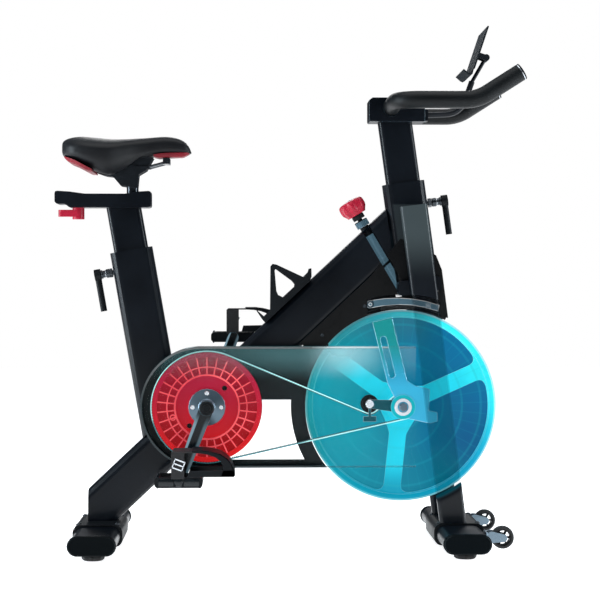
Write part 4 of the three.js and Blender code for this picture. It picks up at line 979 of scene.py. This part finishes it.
def build_pulley():
    radius = RADIUS["drive_pulley"]
    face, web, back = -0.050, -0.045, -0.038
    grooves = [(radius - 0.0014 * (step % 2), back - 0.001 - 0.001 * step) for step in range(11)]
    low = web - 0.0028
    bm = bmesh.new()
    turn(bm, [(0.0176, back), (radius, back), *grooves, (radius, face), (0.1175, face),
              (0.1165, face + 0.0008), (0.1165, web), (0.0948, web), (0.0944, low - 0.001),
              (0.0924, low - 0.001), (0.092, web),
              (0.0772, web), (0.0768, face + 0.001), (0.0732, face + 0.001), (0.0728, web), (0.0452, web),
              (0.0448, low), (0.0176, low)], CRANK, steps=192)
    pulley = piece("pulley_wheel", bm, "crankset", "red_plastic", PULLEY_RED, ("drive_pulley",), smooth=28)
    cutter = bmesh.new()
    for angle in (math.radians(47), math.radians(227)):
        tube(cutter, CRANK + side_view(angle) * 0.060, 0, 0.006, -0.06, -0.03, steps=32)
    carve(pulley, cutter)
    dress(pulley, PULLEY_RED, 28)
    bm = bmesh.new()
    ribs = 30
    for step in range(ribs):
        spoke(bm, CRANK, math.radians(6) + step * 2 * math.pi / ribs, 0.0765, 0.1172, 0.0016,
              web + 0.0006, face + 0.0012)
    place = CRANK + side_view(math.radians(197)) * 0.083
    tube(bm, place, 0.0045, 0.0075, web + 0.0004, web - 0.003, steps=32)
    for inner, outer, top in ((0.0918, 0.0948, low - 0.0016), (0.0728, 0.0768, face + 0.0004)):
        tube(bm, CRANK, inner, outer, web + 0.0004, top, steps=144)
    piece("pulley_ribs", bm, "crankset", "red_plastic", RIB_RED, bevel=0.0004)
    refine("crank_axle", FLANGE, bevel=0.0006)
    bm = bmesh.new()
    for step in range(4):
        angle = math.radians(90 * step)
        place = CRANK + Vector((math.cos(angle) * 0.033, -0.0545, math.sin(angle) * 0.033))
        turn(bm, [(0, 0.0), (0.0062, 0.0), (0.0062, 0.0032), (0.0052, 0.0042), (0, 0.0042)],
             place, TO_RIGHT, 6)
    piece("flange_bolts", bm, "crankset", "chrome", bevel=0.0004)


def belt_path(offset):
    """Side-view line of the belt: arcs round the wheels, joined by their common tangents."""
    wheels = [(CRANK, RADIUS["drive_pulley"] + 0.0006 + offset, 1),
              (HUB, RADIUS["flywheel_pulley"] + 0.0006 + offset, 1),
              (IDLER, RADIUS["idler_wheel"] + 0.0034 - offset, -1)]

    def heading(start, end):
        (a, ra, ta), (b, rb, tb) = start, end
        lean = math.asin((tb * rb - ta * ra) / math.hypot(b.x - a.x, b.z - a.z))
        return math.atan2(b.z - a.z, b.x - a.x) - lean

    points = []
    for index, wheel in enumerate(wheels):
        centre, radius, way = wheel
        side = -way * math.pi / 2
        first = heading(wheels[index - 1], wheel) + side
        sweep_angle = heading(wheel, wheels[(index + 1) % len(wheels)]) + side - first
        sweep_angle = sweep_angle % (2 * math.pi) if way > 0 else -((-sweep_angle) % (2 * math.pi))
        steps = max(4, int(abs(sweep_angle) / 0.05))
        for step in range(steps + 1):
            angle = first + sweep_angle * step / steps
            points.append(Vector((centre.x + radius * math.cos(angle), 0,
                                  centre.z + radius * math.sin(angle))))
    return points


def build_belt():
    """The belt loop, with teeth on its inner face."""
    line = belt_path(0.0015)
    dense = []
    for start, end in zip(line, line[1:] + line[:1]):
        steps = max(1, round((end - start).length / 0.005))
        dense += [start.lerp(end, step / steps) for step in range(steps)]
    half, thick = 0.005, 0.0013
    section = [(-thick, -half), (thick, -half), (thick, half), (-thick, half)]
    bm = bmesh.new()
    centre = (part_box("drive_belt")[0].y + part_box("drive_belt")[1].y) / 2
    sweep(bm, [point + Vector((0, centre, 0)) for point in dense], section, closed=True, up=(0, 1, 0))
    piece("belt_loop", bm, "frame", "rubber", BELT, ("drive_belt",), bevel=0.0003)
    bm = bmesh.new()
    for start, end in zip(dense, dense[1:] + dense[:1]):
        along = (end - start).normalized()
        inward = Vector((-along.z, 0, along.x))
        a, b = start + inward * 0.0006, start.lerp(end, 0.62) + inward * 0.0006
        c, d = b + inward * 0.0024, a + inward * 0.0024
        prism(bm, [(p.x, p.z) for p in (a, b, c, d)], centre - half, centre + half)
    piece("belt_teeth", bm, "frame", "rubber", TEETH)


def guard_outline(front, radius):
    """A half circle about the crank's height, drawn out to the front by two straight edges."""
    centre_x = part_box("belt_guard_outer")[0].x + GUARD_RADIUS
    back = arc(centre_x, CRANK.z, radius, 90, 270, 72)
    return back + [(front, CRANK.z - radius), (front, CRANK.z + radius)]


def build_guards():
    low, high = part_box("belt_guard_inner")
    radius = (high.z - low.z) / 2
    wall = 0.003
    bm = bmesh.new()
    prism(bm, guard_outline(0.200, radius), low.y, high.y)
    tray = piece("guard_tray", bm, "frame", "black_plastic", TRAY, ("belt_guard_inner",))
    cut(tray, prism, guard_outline(0.260, radius - wall), high.y - 0.004, -0.3)
    cut(tray, tube, HUB, 0, WHEEL_OPENING, -0.2, 0.2, steps=200)
    cut(tray, tube, CRANK, 0, 0.028, -0.2, 0.2)
    cut(tray, prism, window_outline(radius), -0.3, 0.3)
    dress(tray, TRAY)
    soften_edges(tray, 0.001)

    low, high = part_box("belt_guard_outer")
    bm = bmesh.new()
    prism(bm, guard_outline(high.x, GUARD_RADIUS), low.y, high.y)
    cover = piece("guard_cover", bm, "frame", "clear_cover", stands_for=("belt_guard_outer",))
    cut(cover, prism, guard_outline(high.x + 0.05, GUARD_RADIUS - 0.0025), low.y + wall, 0.02)
    for centre, size in ((CRANK, 0.050), (HUB, 0.017)):
        cut(cover, tube, centre, 0, size, -0.2, 0.2)
    dress(cover, LOOKS["clear_cover"])
    soften_edges(cover, 0.0008)
    build_guard_rims(low, high)


def build_shroud_lip():
    """Dark lips along the shroud's round lower edge, close to the wheel, and a hem at its foot."""
    low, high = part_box("brake_shroud")
    for hand, y0, y1 in (("right", low.y, low.y + 0.0022), ("left", high.y - 0.0022, high.y)):
        bm = bmesh.new()
        line = arc(HUB.x, HUB.z, WHEEL_OPENING, 63, 146, 60) + arc(HUB.x, HUB.z, 0.2345, 146, 63, 60)
        prism(bm, line, y0, y1)
        piece(f"shroud_lip_{hand}", bm, "frame", "smoked_cover", bevel=0.0004)
    bm = bmesh.new()
    rounded_box(bm, (low.x + 0.012, low.y + 0.0004, CRANK.z + 0.1405),
                (0.1, low.y + 0.0024, low.z + 0.002), 0.0004)
    piece("shroud_hem", bm, "frame", "smoked_cover")


def window_outline(radius):
    """Opening in the tray between the pulley and the flywheel: two arcs and two straight edges."""
    floor, roof = CRANK.z - radius + 0.017, CRANK.z + 0.016
    near, far = 0.118 + 0.011, RADIUS["flywheel"] + 0.035
    left = [(CRANK.x + math.sqrt(near ** 2 - (z - CRANK.z) ** 2), z)
            for z in (floor + (roof - floor) * step / 20 for step in range(21))
            if abs(z - CRANK.z) < near]
    right = [(HUB.x - math.sqrt(far ** 2 - (z - HUB.z) ** 2), z)
             for z in (roof + (floor - roof) * step / 20 for step in range(21))]
    return left + right


def build_guard_rims(low, high):
    """Raised bead along the cover's edge."""
    bm = bmesh.new()
    line = guard_outline(high.x, GUARD_RADIUS - 0.0035)
    path = [Vector((x, low.y - 0.0002, z)) for x, z in [line[-1]] + line[:-1]]
    section = [(-0.0022, -0.0006), (-0.0012, 0.0009), (0.0012, 0.0009), (0.0022, -0.0006)]
    sweep(bm, path, section, up=(0, 1, 0))
    piece("guard_cover_bead", bm, "frame", "clear_cover", RIM_PLASTIC, smooth=60)


def build_cranks():
    for hand, side in (("right", -1), ("left", 1)):
        refine(f"crank_{hand}", CRANK_ARM, bevel=0.0032)
        refine(f"pedal_{hand}", bevel=0.0012, arcs=0.002)
        build_toe_cage(hand, side)
        bm = bmesh.new()
        end = Vector((CRANK.x, side * 0.096, CRANK.z))
        turn(bm, [(0.0095, 0.0), (0.0145, 0.0), (0.0145, 0.001), (0.0125, 0.0022), (0.0105, 0.0022),
                  (0.0095, 0.001)], end, (0, side, 0), 48)
        turn(bm, [(0, 0.0), (0.0085, 0.0), (0.0085, 0.0012), (0.0075, 0.002), (0, 0.002)],
             end, (0, side, 0), 6)
        piece(f"crank_cap_{hand}", bm, "crankset", "black_plastic")
        build_pedal_details(hand, side)


CAGE_OUTER = [(30, 72.1), (54.4, 72.1), (73.4, 69.6), (92.4, 64.9), (109.1, 54.3), (118.6, 42.3), (124.5, 28),
              (127, 16.3), (123.4, 12.7)]
CAGE_INNER = [(94.9, 12.7), (96.5, 19.4), (99.6, 25.8), (100.8, 35.3), (94.9, 47), (82.9, 56.5), (66.2, 62.6),
              (49.7, 65.6), (30, 66.7)]


def build_toe_cage(hand, side):
    """Hooped toe cage: two flanges, the band between them, a foot bar and a strap over the shoe."""
    pivot = PIVOT[f"pedal_{hand}_spin"]
    low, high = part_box(f"toe_cage_{hand}")
    near, far = (low.y, high.y) if side < 0 else (high.y, low.y)
    inward = -side * 0.0024

    def placed(points):
        """Points in millimetres from the pedal's pivot, in the shared frame."""
        return [(pivot.x + x / 1000, pivot.z + z / 1000) for x, z in points]

    loop = placed(CAGE_OUTER + CAGE_INNER)
    band = placed(CAGE_OUTER + [(x - 2.2, z - 1.2) for x, z in CAGE_OUTER[-2::-1]])
    foot = placed([(20, 12.7), (124, 12.7), (126, 16.4), (122, 28), (24, 26)])
    strap = placed([(-15, 66.5), (31, 66.5), (31, 69), (-13, 69), (-16.5, 66), (-16.5, 8), (-15, 8)])
    tail = placed([(-15, 8), (13, 8), (13, 67), (-15, 67)])
    bm = bmesh.new()
    prism(bm, loop, near, near + inward)
    prism(bm, loop, far, far - inward)
    prism(bm, foot, near, near + inward)
    prism(bm, foot, far, far - inward)
    prism(bm, band, near, far)
    piece(f"toe_hoop_{hand}", bm, f"pedal_{hand}", "black_plastic", stands_for=(f"toe_cage_{hand}",),
          bevel=0.0006)
    bm = bmesh.new()
    prism(bm, strap, near, far)
    prism(bm, tail, near, near + inward * 0.7)
    prism(bm, tail, far, far - inward * 0.7)
    piece(f"toe_strap_{hand}", bm, f"pedal_{hand}", "black_plastic", WEBBING)


def build_pedal_details(hand, side):
    pivot = PIVOT[f"pedal_{hand}_spin"]
    low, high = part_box(f"pedal_{hand}")
    bm = bmesh.new()
    for end in (low.x + 0.006, high.x - 0.006):
        for step in range(9):
            y = low.y + 0.010 + (high.y - low.y - 0.020) * step / 8
            for z, way in ((high.z, 1), (low.z, -1)):
                turn(bm, [(0, -0.001), (0.0022, -0.001), (0.0016, 0.0022), (0, 0.0022)], (end, y, z),
                     (0, 0, way), 10)
    piece(f"pedal_studs_{hand}", bm, f"pedal_{hand}", "dark_steel")
    bm = bmesh.new()
    outer = low.y if side < 0 else high.y
    turn(bm, [(0, -0.004), (0.0105, -0.004), (0.0105, 0.0), (0.0085, 0.0022), (0.004, 0.003), (0, 0.003)],
         Vector((pivot.x, outer, pivot.z)), (0, side, 0), 40)
    for dx in (-0.033, 0.024):
        rounded_box(bm, (pivot.x + dx - 0.012, outer - 0.0012, pivot.z - 0.0085),
                    (pivot.x + dx + 0.022, outer + 0.0012, pivot.z + 0.0085), 0.0008)
    piece(f"pedal_end_{hand}", bm, f"pedal_{hand}", "black_plastic", CRANK_BLACK)
    cage_low, cage_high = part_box(f"toe_cage_{hand}")
    outer = cage_low.y if side < 0 else cage_high.y
    bm = bmesh.new()
    place = Vector((pivot.x, outer, pivot.z + 0.040))
    out = 0.0016 * side
    for dz in (-0.011, 0.0, 0.011):
        rounded_box(bm, place + Vector((-0.0155, 0, dz - 0.0017)),
                    place + Vector((0.0155, out * 1.6, dz + 0.0017)), 0.0005, 1)
    for dx in (-0.014, 0.014):
        rounded_box(bm, place + Vector((dx - 0.0016, 0, -0.0125)),
                    place + Vector((dx + 0.0016, out * 1.6, 0.0125)), 0.0005, 1)
    bmesh.ops.scale(bm, vec=(0.82, 1.0, 0.9), space=Matrix.Translation(-place), verts=bm.verts)
    bmesh.ops.rotate(bm, cent=place, matrix=Matrix.Rotation(math.radians(20), 3, "Y"), verts=bm.verts)
    piece(f"strap_buckle_{hand}", bm, f"pedal_{hand}", "chrome")


# ---- Resistance -------------------------------------------------------------------------------

def build_resistance():
    size = 1.1
    profile = [(0, -0.0168), (0.010, -0.0168), (0.019, -0.0160), (0.0242, -0.0142, 0.03),
               (0.0262, -0.011, 0.055), (0.0268, -0.006, 0.065), (0.0268, 0.002, 0.065),
               (0.0258, 0.0065, 0.06), (0.0225, 0.0125, 0.04), (0.0205, 0.0175), (0.0063, 0.0178),
               (0.0063, 0.004), (0, 0.004)]
    bm = bmesh.new()
    turn(bm, [(r * size, along * size, *lobe) for r, along, *lobe in profile], KNOB, ROD, 120, 8)
    piece("knob_fluted", bm, "resistance_knob", "red_plastic", stands_for=("resistance_knob",), smooth=42)
    bm = bmesh.new()
    turn(bm, [(0, -0.0184), (0.0085, -0.0184), (0.0085, -0.0194), (0.0075, -0.02), (0, -0.02)], KNOB, ROD, 40)
    piece("knob_cap", bm, "resistance_knob", "chrome")
    bm = bmesh.new()
    turn(bm, [(0.0066, 0.0195), (0.0135, 0.0195), (0.0148, 0.021), (0.0148, 0.0295), (0.0138, 0.031),
              (0.0066, 0.031)], KNOB, ROD, 48)
    piece("knob_skirt", bm, "resistance_knob", "black_plastic")
    bm = bmesh.new()
    ribs = [(0.0162 - 0.0007 * (step % 2), 0.0368 + 0.0012 * step) for step in range(12)]
    turn(bm, [(0.0066, 0.0345), (0.0135, 0.0345), (0.0162, 0.0358), *ribs, (0.0162, 0.0512), (0.0107, 0.0512),
              (0.0107, 0.0525), (0.0066, 0.0525)], KNOB, ROD, 60)
    tube(bm, KNOB, 0.0066, 0.0109, 0.0525, 0.075, ROD, 48)
    piece("rod_collar", bm, "frame", "bracket_steel", LOOKS["black_plastic"])
    refine("resistance_rod", LOOKS["black_plastic"], bevel=0.0)
    refine("rod_sleeve", SLEEVE, bevel=0.0005)
    refine("brake_arm", SLEEVE, bevel=0.0008)
    refine("brake_pad", bevel=0.0008)
    refine("brake_shroud", bevel=0.0008)
    bm = bmesh.new()
    low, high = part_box("brake_arm")
    place = Vector((high.x - 0.028, low.y, high.z - 0.019))
    tube(bm, place, 0.0022, 0.0075, 0.0, 0.0045, TO_RIGHT, 4)
    piece("brake_square_nut", bm, "brake_arm", "bracket_steel", SLEEVE, bevel=0.0005)


# ---- Saddle -----------------------------------------------------------------------------------

# Rows of (x, value) from the rear to the nose: half width, height of the crest, height of the skirts' foot.
PLAN = [(-0.5235, 0.0), (-0.5215, 0.036), (-0.516, 0.058), (-0.505, 0.075), (-0.490, 0.087),
        (-0.465, 0.0945), (-0.440, 0.0945), (-0.410, 0.088), (-0.380, 0.071), (-0.350, 0.052),
        (-0.320, 0.038), (-0.290, 0.031), (-0.260, 0.0275), (-0.242, 0.0245), (-0.231, 0.019),
        (-0.2245, 0.011), (-0.222, 0.0)]
CREST = [(-0.5235, 0.943), (-0.5215, 0.949), (-0.514, 0.955), (-0.500, 0.9595), (-0.478, 0.962),
         (-0.447, 0.960), (-0.400, 0.9565), (-0.351, 0.9585), (-0.306, 0.962), (-0.279, 0.963),
         (-0.252, 0.9585), (-0.236, 0.950), (-0.2265, 0.938), (-0.222, 0.927)]
SKIRT = [(-0.5235, 0.926), (-0.5215, 0.918), (-0.514, 0.909), (-0.490, 0.899), (-0.465, 0.886),
         (-0.445, 0.876), (-0.424, 0.8675), (-0.405, 0.8665), (-0.385, 0.874), (-0.360, 0.888),
         (-0.335, 0.903), (-0.312, 0.914), (-0.290, 0.9185), (-0.250, 0.9205), (-0.228, 0.9215),
         (-0.222, 0.9235)]


def ramp(value, start, end):
    """A smooth step from 0 at start to 1 at end."""
    share = max(0.0, min(1.0, (value - start) / (end - start)))
    return share * share * (3 - 2 * share)


def read(table, x):
    """Smooth value of a table of (x, value) rows."""
    last = len(table) - 1
    index = next((k for k in range(last) if x <= table[k + 1][0]), last - 1)
    (x0, a), (x1, b) = table[index], table[index + 1]
    before, after = table[max(0, index - 1)], table[min(last, index + 2)]
    start = (b - before[1]) / max(1e-6, x1 - before[0]) * (x1 - x0)
    end = (after[1] - a) / max(1e-6, after[0] - x0) * (x1 - x0)
    t = max(0.0, min(1.0, (x - x0) / (x1 - x0)))
    return ((2 * t ** 3 - 3 * t ** 2 + 1) * a + (t ** 3 - 2 * t ** 2 + t) * start
            + (3 * t ** 2 - 2 * t ** 3) * b + (t ** 3 - t ** 2) * end)


def saddle_ring(x):
    """Section across the saddle: a crowned top, full sides and a hollow between the skirts."""
    around = 64
    wide, peak, foot = max(0.0006, read(PLAN, x)), read(CREST, x), read(SKIRT, x)
    shoulder = peak - min(0.024, (peak - foot) * 0.5)
    points = []
    for step in range(around):
        angle = 2 * math.pi * step / around
        across, up = math.sin(angle), math.cos(angle)
        y = wide * math.copysign(abs(across) ** 0.78, across)
        drop = 0.012 * (abs(y) / 0.0945) ** 2
        if up >= 0:
            groove = 0.004 * math.exp(-(y / 0.010) ** 2) * ramp(x, -0.49, -0.45) * ramp(x, -0.29, -0.34)
            z = shoulder + (peak - shoulder) * up ** 0.7 - groove - drop
        else:
            z = shoulder - drop + (foot - shoulder + drop) * abs(up) ** 0.62
            hollow = ramp(abs(y), 0.046, 0.032) * ramp(x, -0.49, -0.475) * ramp(x, -0.235, -0.25)
            z = max(z, z + (0.9145 - z) * hollow)
        points.append((x, y, z))
    return points


def loft(bm, rings):
    """Adds a skin over rings with the same number of points, closed at both ends."""
    rings = [[bm.verts.new(point) for point in ring] for ring in rings]
    size = len(rings[0])
    for first, second in zip(rings, rings[1:]):
        for step in range(size):
            after = (step + 1) % size
            bm.faces.new((first[step], first[after], second[after], second[step]))
    bm.faces.new(rings[0])
    bm.faces.new(rings[-1][::-1])


def build_saddle():
    for node in ("saddle_clamp", "saddle_carriage"):
        refine(node, LOOKS["dark_steel"], bevel=0.0006)
    rear, nose = PLAN[0][0], PLAN[-1][0]
    shares = [0.5 - 0.5 * math.cos(math.pi * step / 72) for step in range(73)]
    bm = bmesh.new()
    loft(bm, [saddle_ring(rear + (nose - rear) * share) for share in shares])
    saddle = piece("saddle_pad", bm, "saddle", "saddle_cover", stands_for=("saddle",), smooth=70)
    cheek = [(-0.4223, 0.8708), (-0.4043, 0.8678), (-0.3864, 0.8468), (-0.3475, 0.8408), (-0.3445, 0.872),
             (-0.3265, 0.8827), (-0.3095, 0.913), (-0.325, 0.914), (-0.415, 0.914)]
    bm = bmesh.new()
    for y0, y1 in ((-0.0215, -0.0158), (0.0158, 0.0215)):
        prism(bm, cheek, y0, y1)
        place = Vector((PIVOT["saddle_tilt"].x, y0 if y0 < 0 else y1, PIVOT["saddle_tilt"].z))
        bolt(bm, place, (0, math.copysign(1, y0), 0), 0.0055)
    piece("saddle_cheeks", bm, "saddle", SLOT_OF["saddle_clamp"], LOOKS["dark_steel"], bevel=0.0008)
    for name, start, end, inset, low in (("nose", -0.309, -0.2265, 0.0022, -0.0058),
                                         ("rear", -0.5145, -0.449, 0.005, -0.0050)):
        bm = bmesh.new()
        rings = []
        for step in range(25):
            x = start + (end - start) * step / 24
            wide = max(0.002, read(PLAN, x) - inset)
            taper = ramp(step, -0.5, 4) * ramp(step, 24.5, 19)
            foot = read(SKIRT, x)
            bottom = foot + low * taper
            half = [(wide, foot + 0.004), (wide * 0.97, bottom + 0.0015), (wide * 0.9, bottom)]
            rings.append([(x, -y, z) for y, z in half] + [(x, y, z) for y, z in reversed(half)])
        loft(bm, rings)
        piece(f"saddle_red_{name}", bm, "saddle", "saddle_cover", RED_LEATHER, smooth=50)


# ---- Handlebar --------------------------------------------------------------------------------

def bar_path():
    """The bar's centre line from its right end to its left, and the bar's radius."""
    low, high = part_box("handlebar")
    radius = 0.020
    half = high.y - radius
    bar_x, bar_z = low.x + radius, low.z + radius
    rise = math.radians(32.5)
    bend, corner = 0.428, 0.062
    end_x = high.x - radius * math.sin(rise)

    def up(x):
        return bar_z + (x - bend) * math.tan(rise)

    right = [Vector((end_x, -half, up(end_x)))]
    right += bezier((bend + 0.024, -half, up(bend + 0.024)), (bend, -half, bar_z),
                    (bend - 0.028, -half, bar_z), 10)
    right += bezier((bar_x + corner, -half, bar_z), (bar_x, -half, bar_z),
                    (bar_x, corner - half, bar_z), 16)
    return right + [Vector((p.x, -p.y, p.z)) for p in reversed(right)], radius


def build_handlebar():
    path, radius = bar_path()
    bm = bmesh.new()
    sweep(bm, path, circle(radius - 0.0002, 40))
    piece("handlebar_grip", bm, "handlebar", "grip_foam", stands_for=("handlebar",), smooth=60)
    for hand, (tip, inner) in {"right": (path[0], path[1]), "left": (path[-1], path[-2])}.items():
        out = (tip - inner).normalized()
        bm = bmesh.new()
        turn(bm, [(0, -0.004), (radius - 0.001, -0.004), (radius - 0.0004, -0.003),
                  (radius - 0.0004, -0.0012), (radius - 0.003, 0.0), (0.008, 0.0004), (0, 0.0004)],
             tip, out, 48)
        piece(f"bar_end_{hand}", bm, "handlebar", "black_plastic")
        bm = bmesh.new()
        tube(bm, tip, radius - 0.0016, radius + 0.0001, -0.0052, -0.0038, out)
        piece(f"bar_end_ring_{hand}", bm, "handlebar", "chrome")
    refine("handlebar_base", bevel=0.005)
    refine("tablet_stem", arcs=0.001)
    refine("tablet_tray", BOARD, bevel=0.0006)


# ---- Bottle cage, levers and locking pins -----------------------------------------------------

def build_bottle_cage():
    """Two side hoops on a base that lies along the main tube, with a hook at each end."""
    low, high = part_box("bottle_cage")
    outline = [(-0.0315, 0.6640), (-0.0225, 0.6625), (0.0250, 0.6405), (0.0410, 0.6330), (0.0530, 0.6450),
               (0.0555, 0.6535), (0.0595, 0.6535), (0.0600, 0.6345), (0.0570, 0.6259), (-0.0485, 0.5264),
               (-0.0560, 0.5345), (-0.0690, 0.5540), (-0.0675, 0.5550), (-0.0510, 0.5405), (-0.0365, 0.5550),
               (-0.0355, 0.6590)]
    hole = [(-0.0240, 0.6530), (0.0145, 0.6250), (0.0215, 0.6165), (0.0205, 0.6105), (-0.0065, 0.5855),
            (-0.0185, 0.5915), (-0.0225, 0.6010), (-0.0265, 0.6480)]
    base = [(0.0570, 0.6259), (0.0505, 0.6330), (-0.0520, 0.5365), (-0.0485, 0.5264)]
    wide = 0.004
    bm = bmesh.new()
    prism(bm, outline, low.y, low.y + wide)
    prism(bm, outline, high.y - wide, high.y)
    prism(bm, base, low.y + wide, high.y - wide)
    cage = piece("bottle_cage_hoops", bm, "frame", SLOT_OF["bottle_cage"], LOOKS["black_plastic"],
                 ("bottle_cage",))
    cut(cage, prism, hole, low.y - 0.01, high.y + 0.01)
    dress(cage, LOOKS["black_plastic"])
    soften_edges(cage, 0.001)


def build_levers():
    for node in ("seat_pin", "bar_pin"):
        refine(node, LOOKS["dark_steel"], bevel=0.0006)
        out = AXIS[node + "_pull"].normalized()
        hub = PIVOT[node + "_turn"]
        bm = bmesh.new()
        turn(bm, [(0.0062, -0.030), (0.0095, -0.030), (0.0105, -0.029), (0.0105, -0.021), (0.0085, -0.0195),
                  (0.0085, -0.0125), (0.0105, -0.0115), (0.0105, -0.0085), (0.0062, -0.0085)], hub, out, 40)
        piece(node + "_collar", bm, node, "chrome", LOOKS["dark_steel"])
        bm = bmesh.new()
        tube(bm, hub, 0.0062, 0.0089, -0.0194, -0.0184, out, 40)
        piece(node + "_ring", bm, node, "chrome")
    for node in ("seat_pin_lever", "bar_pin_lever"):
        refine(node, bevel=0.0022)
    refine("seat_lever", bevel=0.002)


# ---- Floor and assembly -----------------------------------------------------------------------

def build_floor():
    look = Look("floor_white")
    slow = look.noise(3, 4)
    look.set(Base_Color=look.mix(look.fade(slow, 0.3, 0.7), (0.93, 0.93, 0.935), (0.96, 0.96, 0.96)),
             Roughness=0.9, Emission_Color=(1, 1, 1), Emission_Strength=0.85)
    look.shader.inputs["Specular IOR Level"].default_value = 0.0
    look.bump(look.noise(400, 2), 0.00005)
    bm = bmesh.new()
    bmesh.ops.create_grid(bm, x_segments=2, y_segments=2, size=9)
    mesh = bpy.data.meshes.new("floor")
    bm.to_mesh(mesh)
    bm.free()
    floor = link(bpy.data.objects.new("floor", mesh))
    floor.location.z = -0.0005
    mesh.materials.append(look.material)


set_camera()
light_studio()
build_floor()
build_frame()
build_flywheel()
build_hub()
build_pulley()
build_belt()
build_guards()
build_shroud_lip()
build_cranks()
build_resistance()
build_saddle()
build_handlebar()
build_levers()
build_bottle_cage()
